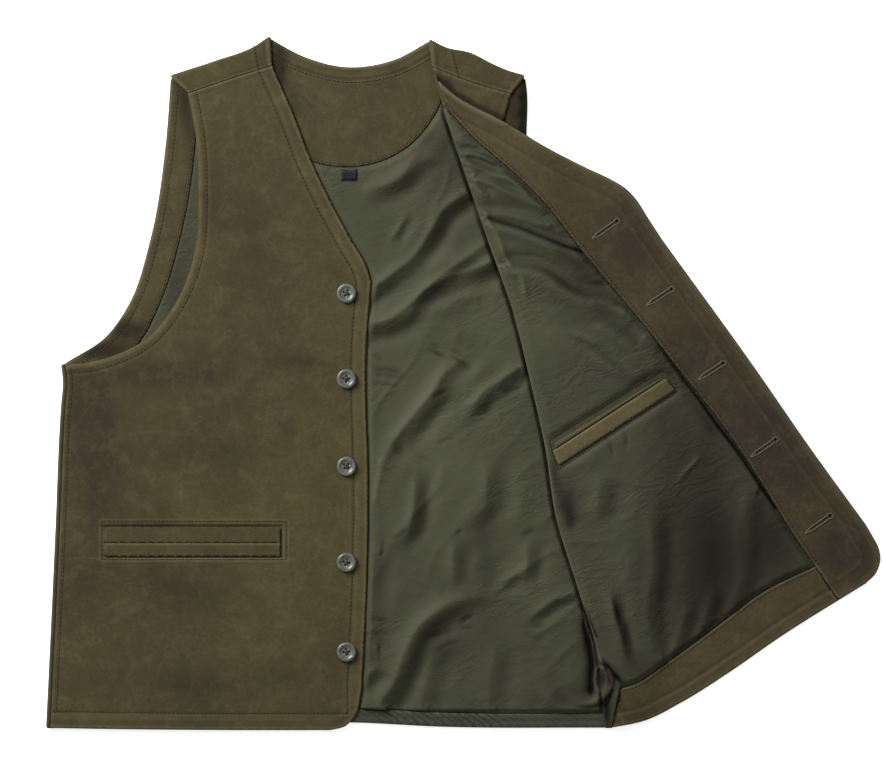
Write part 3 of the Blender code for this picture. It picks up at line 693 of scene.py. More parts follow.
class Plan:
    """A flat piece seen from above: its points and the triangles that fill it."""

    def __init__(self, xy, faces):
        self.xy = xy
        self.faces = faces

    def centres(self):
        return self.xy[self.faces].mean(axis=1)

    def part(self, keep, inset=GAP / 2):
        """The triangles that are kept, as a piece of its own, its edge drawn in by the inset."""
        used, flat = np.unique(self.faces[keep], return_inverse=True)
        faces = flat.reshape(-1, 3)
        xy = self.xy[used]
        rim = boundary(faces)
        run = xy[rim[:, 1]] - xy[rim[:, 0]]
        left = np.column_stack((-run[:, 1], run[:, 0])) / np.maximum(np.hypot(*run.T), 1e-9)[:, None]
        total = np.zeros((len(xy), 2))
        np.add.at(total, rim[:, 0], left)
        np.add.at(total, rim[:, 1], left)
        size = (total**2).sum(axis=1)
        total = total * 2 / np.maximum(size, 1.2)[:, None]
        return Plan(xy + inset * total, faces)


def grid_points(loop, spacing):
    """Points of a triangular grid within the loop."""
    low = loop.min(axis=0)
    a, b = loop, np.roll(loop, -1, axis=0)
    row_step = spacing * math.sqrt(3) / 2
    rows = []
    for k in range(int((loop[:, 1].max() - low[1]) / row_step)):
        y = low[1] + (k + 0.5) * row_step
        cut = (a[:, 1] < y) != (b[:, 1] < y)
        lean = (b[cut, 0] - a[cut, 0]) / (b[cut, 1] - a[cut, 1])
        ends = np.sort(a[cut, 0] + (y - a[cut, 1]) * lean)
        start = low[0] + spacing / 2 * (k % 2)
        for left, right in zip(ends[::2], ends[1::2]):
            first = math.ceil((left - start) / spacing)
            x = start + spacing * np.arange(first, (right - start) // spacing + 1)
            rows.append(np.column_stack((x, np.full(len(x), y))))
    return np.vstack(rows)


def fill(loop, levels, lines=(), rings=()):
    """Triangles that fill the loop. Each level is a spacing and the test of where it holds, finest first."""
    points = []
    edges = []
    for line, is_ring in [(loop, True), *((row, False) for row in lines), *((row, True) for row in rings)]:
        first = len(points)
        count = len(line)
        points.extend(line.tolist())
        edges.extend((first + i, first + (i + 1) % count) for i in range(count if is_ring else count - 1))
    tree = tree_of(np.array(points))
    finer = []
    for spacing, holds in levels:
        grid = grid_points(loop, spacing)
        keep = holds(grid)
        for other in finer:
            keep &= ~other(grid)
        clear = 0.6 * spacing
        points.extend(p for p in grid[keep].tolist() if tree.find((*p, 0.0))[2] > clear)
        finer.append(holds)
    found = delaunay_2d_cdt(points, edges, [], 1, 1e-3)
    xy = np.array([tuple(v) for v in found[0]])
    faces = np.array([tuple(f) for f in found[2]])
    a, b, c = (xy[faces[:, k]] for k in (0, 1, 2))
    turn = (b - a)[:, 0] * (c - a)[:, 1] - (b - a)[:, 1] * (c - a)[:, 0]
    faces[turn < 0] = faces[turn < 0][:, ::-1]
    return Plan(xy, faces[np.abs(turn) > 1e-4])


def everywhere(xy):
    return np.ones(len(xy), bool)


def close_to(lines, reach):
    """A test for points that lie within the reach of any of the lines."""
    cell = 2.0
    low = np.array((-430.0, -360.0))
    grid = np.zeros((430, 360), bool)
    half = math.ceil(reach / cell)
    for line in lines:
        for i, j in ((resample(line, cell) - low) / cell).astype(int):
            grid[max(i - half, 0) : i + half + 1, max(j - half, 0) : j + half + 1] = True

    def holds(xy):
        cells = np.clip(((xy - low) / cell).astype(int), 0, (429, 359))
        return grid[cells[:, 0], cells[:, 1]]

    return holds


class Sheet:
    """A surface of cloth in space: points, the way its outer face looks, and triangles."""

    def __init__(self):
        self.points = np.zeros((0, 3))
        self.ups = np.zeros((0, 3))
        self.faces = np.zeros((0, 3), int)

    def row(self, xy, z, ups):
        first = len(self.points)
        rows = np.column_stack((xy, np.broadcast_to(z, len(xy))))
        self.points = np.vstack((self.points, rows))
        self.ups = np.vstack((self.ups, np.broadcast_to(ups, (len(xy), 3))))
        return np.arange(first, first + len(xy))

    def panel(self, plan, z, up=1.0):
        ids = self.row(plan.xy, z, (0.0, 0.0, up))
        self.faces = np.vstack((self.faces, ids[plan.faces]))
        return ids

    def join(self, lower, upper):
        a, b, c, d = lower[:-1], lower[1:], upper[1:], upper[:-1]
        self.faces = np.vstack((self.faces, np.column_stack((a, b, c)), np.column_stack((a, c, d))))

    def bend(self, lower, upper, out, radius, up, rise=0.0):
        """A half-round turn from one row of points to the row above it, bulging along out, its top raised."""
        last = lower
        start = self.points[lower]
        for k in range(1, BEND_STEPS):
            angle = math.pi * k / BEND_STEPS
            xy = start[:, :2] + out * radius * math.sin(angle)
            side = np.column_stack((-out * math.sin(angle), np.full(len(out), math.cos(angle))))
            row = self.row(xy, start[:, 2] + (radius + rise / 2) * (1 - math.cos(angle)), side * up)
            self.join(last, row)
            last = row
        self.join(last, upper)

    def strip(self, first, target, count, z):
        """Rows of points from the first row to the target line, at the height z."""
        last = first
        start = self.points[first][:, :2]
        for k in range(1, count + 1):
            xy = start + (target - start) * (k / count)
            row = self.row(xy, z, (0.0, 0.0, 1.0))
            self.join(last, row)
            last = row
        return last


def chain(plan, ids, line):
    """The sheet's points that lie at the line's points, in its order."""
    return np.array([ids[int(np.argmin(np.hypot(*(plan.xy - p).T)))] for p in line])


def matched(line, count):
    """As many points of the line as count, evenly spread."""
    close = resample(line, 0.5)
    return close[np.linspace(0, len(close) - 1, count).round().astype(int)]


def place(name, points, faces, finish, **attributes):
    """An object of these points and triangles, in millimetres, that rides on the part's one body."""
    mesh = bpy.data.meshes.new(name)
    mesh.from_pydata((points * MM).tolist(), [], faces.tolist())
    mesh.shade_smooth()
    for key, values in attributes.items():
        mesh.attributes.new(key, "FLOAT", "POINT").data.foreach_set("value", values.astype(np.float32))
    mesh.materials.append(finish)
    made = bpy.data.objects.new(name, mesh)
    bpy.context.scene.collection.objects.link(made)
    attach(made, "root")
    return made


def shell(name, sheet, thick, finish, wear_and_shade=0.0, tone_and_shade=0.0, edge=EDGE_ROUND, lean=0.0):
    """A closed shell round the sheet that stands for the CAD node.

    Its edges are rounded over a distance. A lean of -1 keeps its inner face flat up to the edge, and 1 its
    outer face.
    """
    points, ups, faces = sheet.points, sheet.ups, sheet.faces
    corners = points[faces]
    normal = np.cross(corners[:, 1] - corners[:, 0], corners[:, 2] - corners[:, 0])
    flipped = (normal * ups[faces].sum(axis=1)).sum(axis=1) < 0
    faces = faces.copy()
    faces[flipped] = faces[flipped][:, ::-1]
    rim = boundary(faces)
    a, b = points[rim[:, 0]], points[rim[:, 1]]
    tree = tree_of(np.vstack([a + (b - a) * t for t in np.arange(0, 1, 0.2)]))
    away = np.array([tree.find(p)[2] for p in points.tolist()])
    half = thick / 2 * np.sqrt(1 - (1 - np.clip(away / edge, 0, 1)) ** 2)
    on_rim = np.zeros(len(points), bool)
    on_rim[rim.ravel()] = True
    half[on_rim] = 0.0
    shift = lean * (thick / 2 - half)
    inner_ids = np.where(on_rim, np.arange(len(points)), 0)
    inner_ids[~on_rim] = len(points) + np.arange((~on_rim).sum())
    outer = points + ups * (half + shift)[:, None]
    inner = (points - ups * (half - shift)[:, None])[~on_rim]
    all_faces = np.vstack((faces, inner_ids[faces][:, ::-1]))
    marks = {}
    # The first attribute holds rubbing with painted highlights and, below zero, painted shade; the second
    # holds colour patches and, on the linings, painted shade and highlights.
    for key, values in (("wear_and_shade", wear_and_shade), ("tone_and_shade", tone_and_shade)):
        values = np.broadcast_to(values, len(points)).astype(float)
        marks[key] = np.concatenate((values, values[~on_rim]))
    made = place(name + "_cloth", np.vstack((outer, inner)), all_faces, finish, **marks)
    CLOTH[name] = (made, float(np.linalg.norm(normal, axis=1).sum() / 2) * MM * MM)
    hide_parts(name)
    return made


# Each piece of cloth by its node: the object and its flat area in square metres
CLOTH = {}


def lay(name, plan, z, wear_and_shade, thick, finish, edge=EDGE_ROUND, lean=0.0, slot="nubuck", shade=0.0):
    """A shell on a flat plan, its middle at the height z."""
    sheet = Sheet()
    sheet.panel(plan, z)
    made = shell(name, sheet, thick, finish, wear_and_shade, tones(plan.xy, TONES.get(name, ())) + shade, edge, lean)
    return made


def tones(xy, rows):
    """The sum of the soft patches of a table at each point. For colour it is how brown, below zero how olive;
    on the linings it is also painted shade, below zero painted highlight; in tables of shades, below zero it
    is painted shade.
    """
    total = np.zeros(len(xy))
    for px, py, wide, high, amount in rows:
        centre = photo((px, py))
        away = (xy - centre) / (wide * PIXEL_MM, high * PIXEL_MM)
        total += amount * np.exp(-(away**2).sum(axis=1))
    return total


# Patches of colour in pixels: centre x, y, half width, half height, and how brown or, below zero, how olive.
# On the linings the amount is also painted shade, dark brown and past 1 near black, and below zero a painted
# highlight.
TONES = {
    "front_right": (
        (85, 400, 28, 24, 0.65), (95, 445, 28, 48, 0.85), (98, 490, 20, 28, 0.45), (130, 372, 50, 12, 0.8),
        (150, 386, 56, 14, 0.25), (345, 322, 18, 34, -0.5), (125, 532, 50, 16, 0.35),
        (195, 374, 26, 9, 0.5), (125, 570, 60, 18, 0.45), (175, 588, 40, 14, 0.4), (302, 362, 26, 6, 0.6),
        (286, 420, 15, 30, 0.4), (190, 452, 50, 18, 0.35), (80, 600, 24, 40, 0.3), (190, 685, 32, 12, 0.5),
        (262, 682, 40, 12, 0.3), (240, 400, 24, 16, 0.3), (240, 200, 40, 70, 0.25), (310, 500, 50, 60, -0.5),
        (305, 590, 50, 50, -0.45), (95, 645, 50, 26, -0.4), (250, 640, 60, 24, -0.4),
        (320, 310, 22, 40, -0.4), (359, 500, 8, 190, -0.8), (250, 520, 60, 20, -0.3),
    ),
    "front_left_facing": (
        (630, 240, 50, 50, 0.8), (700, 360, 50, 70, 0.8), (780, 460, 50, 60, 0.9), (850, 545, 40, 50, 0.8),
        (500, 140, 60, 40, -0.6), (560, 185, 30, 30, -0.2),
    ),
    "front_left_hem_facing": ((720, 670, 140, 60, -0.7), (640, 712, 30, 16, 0.5)),
    "front_left_lining": (
        (715, 545, 60, 70, 0.25), (600, 372, 56, 30, 0.18),
        (704, 450, 40, 46, 1.0), (706, 530, 40, 46, 1.1), (716, 590, 34, 44, 1.0), (684, 620, 30, 46, 0.7),
        (772, 540, 34, 50, 1.25), (746, 530, 7, 34, -0.5), (640, 330, 30, 22, 0.3), (574, 284, 34, 24, 0.6),
        (508, 198, 20, 8, 0.7), (604, 715, 5, 16, 0.6), (571, 505, 7, 26, 0.9), (600, 640, 6, 16, 0.5),
        (628, 620, 12, 50, 0.3), (536, 330, 24, 30, -0.4),
        (608, 706, 7, 24, 0.8), (606, 680, 9, 14, 0.9),
    ),
    "back_lining": (
        (446, 180, 36, 40, 0.5), (478, 160, 22, 30, 0.4), (500, 210, 12, 40, 0.4), (440, 655, 34, 18, 0.35),
        (476, 570, 12, 40, 0.35), (445, 400, 14, 14, 0.3), (556, 700, 34, 9, 0.7), (421, 517, 9, 30, 0.6),
        (482, 520, 10, 40, 0.4), (448, 642, 20, 18, 0.4),
        (490, 630, 14, 22, 0.4),
        (187, 210, 12, 90, 0.45), (175, 290, 12, 40, 0.7), (440, 430, 60, 110, -0.5),
        (500, 330, 40, 40, -0.4),
        (376, 664, 16, 16, 0.5), (446, 240, 14, 24, 0.35), (446, 292, 12, 10, 0.4), (470, 346, 16, 12, 0.5),
        (486, 522, 14, 18, 0.4), (462, 600, 16, 14, 0.3), (430, 138, 12, 10, 0.6), (436, 470, 30, 40, -0.3),
        (525, 560, 30, 70, -0.3),
    ),
}


def material(name, colour, roughness):
    """A plain material."""
    made = bpy.data.materials.new(name)
    made.use_nodes = True
    shader = made.node_tree.nodes["Principled BSDF"]
    shader.inputs["Base Color"].default_value = (*colour, 1.0)
    shader.inputs["Roughness"].default_value = roughness
    return made


def scaled(colour, factor):
    """The colour made darker or lighter."""
    return tuple(factor * c for c in colour)


class Nodes:
    """Adds shader nodes to a material."""

    def __init__(self, made):
        self.tree = made.node_tree
        self.shader = self.tree.nodes["Principled BSDF"]
        self.place = self.add("ShaderNodeTexCoord").outputs["Object"]
        self.relief = None

    def add(self, kind, **facts):
        node = self.tree.nodes.new(kind)
        for name, value in facts.items():
            setattr(node, name, value)
        return node

    def put(self, socket, value):
        if isinstance(value, bpy.types.NodeSocket):
            self.tree.links.new(value, socket)
        elif isinstance(value, tuple) and len(value) == 3 and len(socket.default_value) == 4:
            socket.default_value = (*value, 1.0)
        else:
            socket.default_value = value

    def noise(self, scale, detail=3.0, rough=0.55, warp=0.0):
        node = self.add("ShaderNodeTexNoise")
        for name, value in (("Scale", scale), ("Detail", detail), ("Roughness", rough), ("Distortion", warp)):
            node.inputs[name].default_value = value
        self.put(node.inputs["Vector"], self.place)
        return node.outputs["Fac"]

    def stretch(self, turn, scales):
        """The object's coordinates turned about +Z, and what follows drawn out by the scales."""
        node = self.add("ShaderNodeMapping", vector_type="TEXTURE")
        node.inputs["Rotation"].default_value = (0.0, 0.0, turn)
        node.inputs["Scale"].default_value = scales
        self.put(node.inputs["Vector"], self.place)
        self.place = node.outputs["Vector"]

    def span(self, value, low, high, to_low=0.0, to_high=1.0):
        """The value with low to high turned into to_low to to_high, and held there."""
        node = self.add("ShaderNodeMapRange")
        for name, number in (("From Min", low), ("From Max", high), ("To Min", to_low), ("To Max", to_high)):
            node.inputs[name].default_value = number
        self.put(node.inputs["Value"], value)
        return node.outputs["Result"]

    def mix(self, share, first, second, kind="MIX"):
        node = self.add("ShaderNodeMix", data_type="RGBA", blend_type=kind)
        for socket, value in zip((node.inputs[0], node.inputs[6], node.inputs[7]), (share, first, second)):
            self.put(socket, value)
        return node.outputs[2]

    def blend(self, first, second, value, low, high, least=0.0, most=1.0):
        """From the first colour to the second as the value goes from low to high."""
        return self.mix(self.span(value, low, high, least, most), first, second)

    def speckle(self, colour, pattern, share, low, high):
        """The colour made darker and lighter by the pattern."""
        return self.mix(share, colour, self.mix(pattern, (low,) * 3, (high,) * 3), "MULTIPLY")

    def attribute(self, name):
        return self.add("ShaderNodeAttribute", attribute_type="GEOMETRY", attribute_name=name).outputs["Fac"]

    def sum(self, first, second, factor=1.0):
        node = self.add("ShaderNodeMath", operation="MULTIPLY_ADD")
        self.put(node.inputs[0], second)
        self.put(node.inputs[1], factor)
        self.put(node.inputs[2], first)
        return node.outputs[0]

    def ridge(self, value, half):
        """1 where the value is one half, falling to 0 at the distance half from it."""
        node = self.add("ShaderNodeMath", operation="SUBTRACT")
        self.put(node.inputs[0], value)
        node.inputs[1].default_value = 0.5
        size = self.add("ShaderNodeMath", operation="ABSOLUTE")
        self.put(size.inputs[0], node.outputs[0])
        return self.span(size.outputs[0], 0.0, half, 1.0, 0.0)

    def bump(self, height, strength, depth):
        """Bumps on the surface, on top of those made before."""
        node = self.add("ShaderNodeBump")
        node.inputs["Strength"].default_value = strength
        node.inputs["Distance"].default_value = depth
        self.put(node.inputs["Height"], height)
        if self.relief is not None:
            self.put(node.inputs["Normal"], self.relief)
        self.relief = node.outputs["Normal"]
        self.put(self.shader.inputs["Normal"], self.relief)

    def finish(self, colour, **numbers):
        self.put(self.shader.inputs["Base Color"], colour)
        for name, value in numbers.items():
            self.put(self.shader.inputs[name.replace("_", " ")], value)


def nubuck(name, olive, brown, light):
    """Nubuck: soft patches of olive and brown, a short nap, light where it is rubbed and painted highlight on
    rolled edges, painted shade in grooves.
    """
    made = material(name, olive, 0.93)
    nodes = Nodes(made)
    patches = nodes.sum(nodes.sum(0.2, nodes.noise(10.0, 4.0, 0.6, 0.5), 0.6), nodes.attribute("tone_and_shade"), 0.4)
    colour = nodes.blend(olive, brown, patches, 0.36, 0.82)
    clouds = nodes.noise(52.0, 8.0, 0.78, 0.3)
    colour = nodes.blend(colour, light, clouds, 0.5, 0.78, 0.0, 0.4)
    colour = nodes.blend(colour, scaled(brown, 0.6), clouds, 0.5, 0.25, 0.0, 0.32)
    grain = nodes.noise(220.0, 5.0, 0.8)
    colour = nodes.speckle(colour, grain, 0.42, 0.0, 2.0)
    nap = nodes.noise(1100.0, 3.0, 0.7)
    colour = nodes.speckle(colour, nap, 0.3, 0.3, 1.7)
    wear_and_shade = nodes.attribute("wear_and_shade")
    colour = nodes.blend(colour, light, wear_and_shade, 0.0, 1.0, 0.0, 0.85)
    # Below zero this attribute paints shade: in grooves, in gaps between pieces and under edges.
    colour = nodes.blend(colour, (0.008, 0.007, 0.004), wear_and_shade, 0.0, -1.0, 0.0, 0.8)
    pores = nodes.sum(nap, nodes.noise(150.0, 4.0, 0.6), 1.4)
    nodes.bump(pores, 0.22, 0.0006)
    nodes.finish(colour, Sheen_Weight=0.25, Sheen_Roughness=0.6, Sheen_Tint=light, Specular_IOR_Level=0.15)
    return made


def satin(name, base, brown, green):
    """Satin lining: a close slanting weave with a soft gloss and faint brown and green tints, and painted
    shade and highlights on its folds.
    """
    made = material(name, base, 0.7)
    nodes = Nodes(made)
    colour = nodes.blend(base, brown, nodes.noise(14.0, 3.0, 0.5, 0.8), 0.52, 0.75, 0.0, 0.7)
    colour = nodes.blend(colour, green, nodes.noise(22.0, 2.0), 0.5, 0.8, 0.0, 0.6)
    # Below zero this attribute paints a highlight; from 0 to 1 it gives brown patches and painted shade in
    # dark brown; from 1 to 2.2 painted shadow near black in creases and hollows.
    tone_and_shade = nodes.attribute("tone_and_shade")
    colour = nodes.blend(colour, scaled(base, 1.5), tone_and_shade, 0.0, -1.0)
    colour = nodes.blend(colour, scaled(brown, 0.3), tone_and_shade, 0.0, 1.0, 0.0, 0.65)
    colour = nodes.blend(colour, scaled(base, 0.03), tone_and_shade, 1.0, 2.2)
    # Above zero this attribute paints highlights on the fold's edge and on thin folds, below zero painted
    # shade along the fold.
    wear_and_shade = nodes.attribute("wear_and_shade")
    colour = nodes.blend(colour, scaled(brown, 2.6), wear_and_shade, 0.0, 1.0, 0.0, 0.8)
    colour = nodes.blend(colour, scaled(base, 0.08), wear_and_shade, 0.0, -1.0, 0.0, 0.9)
    nodes.stretch(math.radians(18.0), (2.4, 1.0, 1.0))
    creases = nodes.ridge(nodes.noise(75.0, 3.0, 0.6, 0.5), 0.12)
    sparse = nodes.span(nodes.noise(16.0, 2.0), 0.44, 0.7, 0.12, 1.0)
    nodes.bump(nodes.mix(sparse, (0.0, 0.0, 0.0), creases), 0.42, 0.0012)
    nodes.bump(nodes.noise(110.0, 3.0, 0.55, 0.4), 0.16, 0.0022)
    threads = nodes.noise(2600.0, 1.0)
    streaks = nodes.noise(420.0, 3.0, 0.6)
    nodes.bump(nodes.sum(threads, streaks, 1.5), 0.1, 0.0003)
    colour = nodes.speckle(colour, threads, 0.12, 0.3, 1.7)
    dull = nodes.span(nodes.sum(tone_and_shade, wear_and_shade, -1.0), 0.6, 2.0, 0.7, 1.0)
    nodes.finish(
        colour, Roughness=dull, Sheen_Weight=0.05, Sheen_Roughness=0.35, Sheen_Tint=(0.6, 0.68, 0.5),
        Specular_IOR_Level=0.12,
    )
    return made


def twill(name, base, light):
    """Ribbed twill tape: slanting ribs with lighter thread on their crests, and painted light and shade from
    its attribute.
    """
    made = material(name, base, 0.7)
    nodes = Nodes(made)
    wear_and_shade = nodes.attribute("wear_and_shade")
    cloud = nodes.noise(60.0, 4.0)
    nodes.stretch(math.radians(40.0), (1.0, 1.0, 1.0))
    ribs = nodes.add("ShaderNodeTexWave", wave_type="BANDS", bands_direction="X")
    ribs.inputs["Scale"].default_value = 420.0
    ribs.inputs["Distortion"].default_value = 1.2
    nodes.put(ribs.inputs["Vector"], nodes.place)
    rib = ribs.outputs["Fac"]
    colour = nodes.blend(base, light, rib, 0.2, 0.9, 0.0, 0.5)
    colour = nodes.blend(colour, scaled(base, 0.6), cloud, 0.45, 0.75, 0.0, 0.5)
    # This attribute paints light on the roped band's crests and shade in its troughs.
    colour = nodes.blend(colour, light, wear_and_shade, 0.0, 1.0, 0.0, 0.6)
    colour = nodes.blend(colour, scaled(base, 0.2), wear_and_shade, 0.0, -1.0, 0.0, 0.9)
    nodes.bump(rib, 0.35, 0.0004)
    nodes.finish(colour, Sheen_Weight=0.1, Specular_IOR_Level=0.25)
    return made


def thread(name, base, light):
    """Sewing thread: fine twisted strands."""
    made = material(name, base, 0.6)
    nodes = Nodes(made)
    strands = nodes.noise(2400.0, 2.0)
    nodes.bump(strands, 0.3, 0.0002)
    nodes.finish(nodes.mix(strands, base, light), Specular_IOR_Level=0.15)
    return made


def horn(name, base, dark, light):
    """Polished grey-green horn with cloudy veins."""
    made = material(name, base, 0.34)
    nodes = Nodes(made)
    veins = nodes.noise(170.0, 5.0, 0.6, 1.6)
    colour = nodes.blend(dark, base, veins, 0.35, 0.52)
    colour = nodes.blend(colour, light, veins, 0.55, 0.75, 0.0, 0.8)
    nodes.bump(veins, 0.08, 0.0003)
    nodes.finish(colour, Specular_IOR_Level=0.45, Coat_Weight=0.1, Coat_Roughness=0.3)
    return made


OLIVE = (0.052, 0.0435, 0.0175)
BROWN = (0.029, 0.0215, 0.0125)
# Light of rubbed places, also used for painted highlights on rolled edges
RUBBED_AND_HIGHLIGHT = (0.108, 0.09, 0.044)
NUBUCK = nubuck("nubuck", OLIVE, BROWN, RUBBED_AND_HIGHLIGHT)
FACING_NUBUCK = nubuck("nubuck_facing", (0.052, 0.041, 0.018), (0.03, 0.0215, 0.014), (0.1, 0.083, 0.045))
WELT_NUBUCK = nubuck("nubuck_welt", (0.085, 0.07, 0.03), (0.066, 0.052, 0.025), (0.12, 0.105, 0.06))
SATIN_CLOTH = satin("satin", (0.0412, 0.043, 0.0245), (0.049, 0.04, 0.027), (0.0335, 0.041, 0.023))
TWILL_CLOTH = twill("twill", (0.026, 0.029, 0.015), (0.062, 0.063, 0.037))
BLACK_RIBBON = twill("ribbon", (0.0025, 0.0025, 0.003), (0.006, 0.006, 0.007))
HORN = horn("horn", (0.085, 0.095, 0.075), (0.045, 0.052, 0.04), (0.16, 0.17, 0.14))
LEATHER_THREAD = thread("thread_olive", (0.03, 0.025, 0.011), (0.06, 0.05, 0.023))
FACING_THREAD = thread("thread_brown", (0.022, 0.018, 0.01), (0.07, 0.06, 0.034))
HOLE_THREAD = thread("thread_grey", (0.07, 0.068, 0.048), (0.14, 0.135, 0.1))
# Dark beads that paint the shade in needle holes
HOLE_SHADE = thread("needle_hole_shade", (0.008, 0.0065, 0.004), (0.014, 0.011, 0.007))
BAR_THREAD = thread("thread_dark", (0.04, 0.032, 0.019), (0.07, 0.057, 0.035))


def run_of(*rows, step=EDGE_STEP):
    """One line through several tables, end to end."""
    lines = [curve(row, step) for row in rows]
    return np.vstack((lines[0], *(line[1:] for line in lines[1:])))


FRONT_EDGE = Seam(run_of(V_NECK, BUTTON_EDGE, FRONT_CORNER, FRONT_HEM), -1)
FRONT_ARM = Seam(run_of(FRONT_ARMHOLE), -1)
FRONT_SIDE = Seam(run_of(SIDE_LEFT) + (SIDE_TURN, 0), 1)
SHOULDER_SEAM_LEFT = Seam(run_of(SEAM_LEFT), -1)
SHOULDER_SEAM_RIGHT = Seam(run_of(SEAM_RIGHT), -1)
BACK_NECK_EDGE = Seam(run_of(BACK_NECK), -1)
ARM_EDGE_LEFT = Seam(run_of(ARMHOLE_LEFT), 1)
FLAP_OUTER = Seam(run_of(FLAP_NECK, FLAP_CORNER, FLAP_EDGE, FLAP_ROUND, FLAP_HEM), -1)
FACING_INNER = Seam(run_of(FACING_EDGE), 1)
HEM_FACING_INNER = Seam(run_of(HEM_FACING_EDGE), 1)
NECK_FACING_LOW = Seam(neck_facing_edge(EDGE_STEP), 1)
ARM_FACING_INNER = Seam(run_of(ARMHOLE_FACING_EDGE), -1)
FOLD = Seam(run_of(FOLD_LINE), -1)
POCKET_FRAME = Seam(
    photo(((101.5, 521.6), (286.4, 521.6), (286.4, 559.6), (101.5, 559.6), (101.5, 521.6))), 1
)
POCKET_WINDOW = patch(tuple(map(tuple, photo(((103.8, 525), (282.6, 525), (282.6, 558), (103.8, 558))))), 2.0)

FRONT_STITCHES = Seam(
    np.vstack((Seam(run_of(V_NECK, BUTTON_EDGE), -1).moved(14.5, EDGE_STEP), [(-112.5, -320.5)])), -1
)
HEM_STITCHES = Seam([(-112.5, -320.5), (-216, -320.5), (-341, -319.5), (-397, -318.5)], -1)
ARM_STITCHES = Seam(FRONT_ARM.moved(8.5, EDGE_STEP), -1)
SIDE_STITCHES = Seam(FRONT_SIDE.moved(5.0, EDGE_STEP)[4:-9], 1)

# Ridges and grooves on each piece: a seam, then rows of offset, height, width and wear, which above zero is
# rubbing and painted highlight and below zero painted shade in the groove
FRONT_MARKS = (
    (FRONT_EDGE, ((1.6, 0.25, 1.3, 0.75), (10.5, 0.16, 1.8, 0.25))),
    (FRONT_ARM, ((2.9, 0.3, 1.7, 0.55),)),
    (FRONT_SIDE, ((1.2, 0.3, 1.2, 0.3),)),
    (SHOULDER_SEAM_LEFT, ((1.3, 0.3, 0.9, 0.7), (4.2, -0.1, 1.2, -0.2))),
    (FRONT_STITCHES, ((0.0, -0.28, 1.1, -0.3), (2.2, 0.1, 1.3, 0.15))),
    (HEM_STITCHES, ((0.0, -0.28, 1.1, -0.3), (-3.2, 0.16, 1.6, 0.3))),
    (ARM_STITCHES, ((0.0, -0.28, 1.1, -0.35), (2.2, 0.12, 1.4, 0.2))),
    (SIDE_STITCHES, ((0.0, -0.25, 1.1, -0.3),)),
    (POCKET_FRAME, ((0.0, -0.25, 1.0, -0.3), (1.5, 0.15, 0.9, 0.6), (-2.0, 0.15, 1.3, 0.2))),
)

# Wrinkles beside a seam: the seam, where they start, their reach, height, wave and seed
FRONT_GATHERS = ((ARM_STITCHES, 0.0, 3.0, 0.12, 8.0, 1.3), (FRONT_STITCHES, 0.0, 2.5, 0.05, 9.0, 4.1))


def front_shape(xy):
    """Middle of the closed front's wall and its wear, with painted highlights and painted shade."""
    lift, wear_and_shade = sewing(xy, FRONT_MARKS)
    lift += strokes(xy, FRONT_SWELLS, groove)
    lift += gathers(xy, FRONT_GATHERS)
    lift += layers(xy, mottle, FRONT_MOTTLES)
    in_window = inside(xy, POCKET_WINDOW)
    rim = ramp(distance(xy, shut(POCKET_WINDOW)) / 1.4)
    lift -= 1.1 * np.where(in_window, rim, 0.0)
    wear_and_shade += tones(xy, FRONT_SHADES)
    return FRONT_MID + crests(xy, PANEL_SWELLS) + lift, wear_and_shade


# Rubbed places and painted highlights and, below zero, painted shade, in pixels: centre x, y, half width, half
# height, how much
FRONT_SHADES = (
    (145, 525.4, 46, 1.2, -1.1), (240, 525.4, 46, 1.2, -1.1), (330, 310, 30, 2.0, 0.12),
    (212, 390, 18, 2.0, 0.15), (150, 432, 20, 1.5, 0.15),
    (300, 345, 14, 2.0, 0.12), (185, 434, 12, 2.0, 0.1), (103.5, 541, 1.6, 16, 0.3), (284, 541, 1.8, 16, 0.3),
    (193, 558.8, 92, 1.0, 1.2), (359, 480, 6, 180, 0.14),
)
NECK_SHADES = (
    (279, 66, 8, 28, -1.3), (293, 108, 6, 24, -0.5), (434, 60, 8, 20, -0.3), (352, 68, 60, 2, -0.2),
    (312, 140, 5, 20, -0.3),
)
ARM_SHADES = (
    (96, 350, 34, 9, -1.4), (128, 330, 22, 10, -1.2), (184, 100, 7, 30, -0.9), (176, 80, 6, 10, -0.6),
    (190, 140, 5, 40, -0.5), (518, 110, 14, 34, -0.9), (150, 300, 8, 24, -0.3),
)
HIDDEN_SHADES = ((522, 122, 4, 9, -0.8), (447, 84, 5, 4, -0.9), (480, 92, 20, 5, 0.25))


def shoulder_shape(xy):
    """Middle of the back's wall where it comes over the shoulders, and its wear, with painted shade on the
    turned-up strip at the left side.
    """
    lift, wear_and_shade = sewing(xy, SHOULDER_MARKS)
    lift += 0.12 * mottle(xy, 15.0, 5.4) + gathers(xy, SHOULDER_GATHERS)
    return FRONT_MID + lift, wear_and_shade - 0.75 * (xy[:, 0] < SIDE_STRIP)


def hidden_shape(xy):
    """Middle of the wall of the open front's lower layer, and its wear, with painted shade under the flap's
    rolled neck edge.
    """
    lift, wear_and_shade = sewing(xy, HIDDEN_MARKS)
    lift += gathers(xy, HIDDEN_GATHERS)
    return FRONT_MID + np.clip(lift, -0.3, 0.5), wear_and_shade + tones(xy, HIDDEN_SHADES)


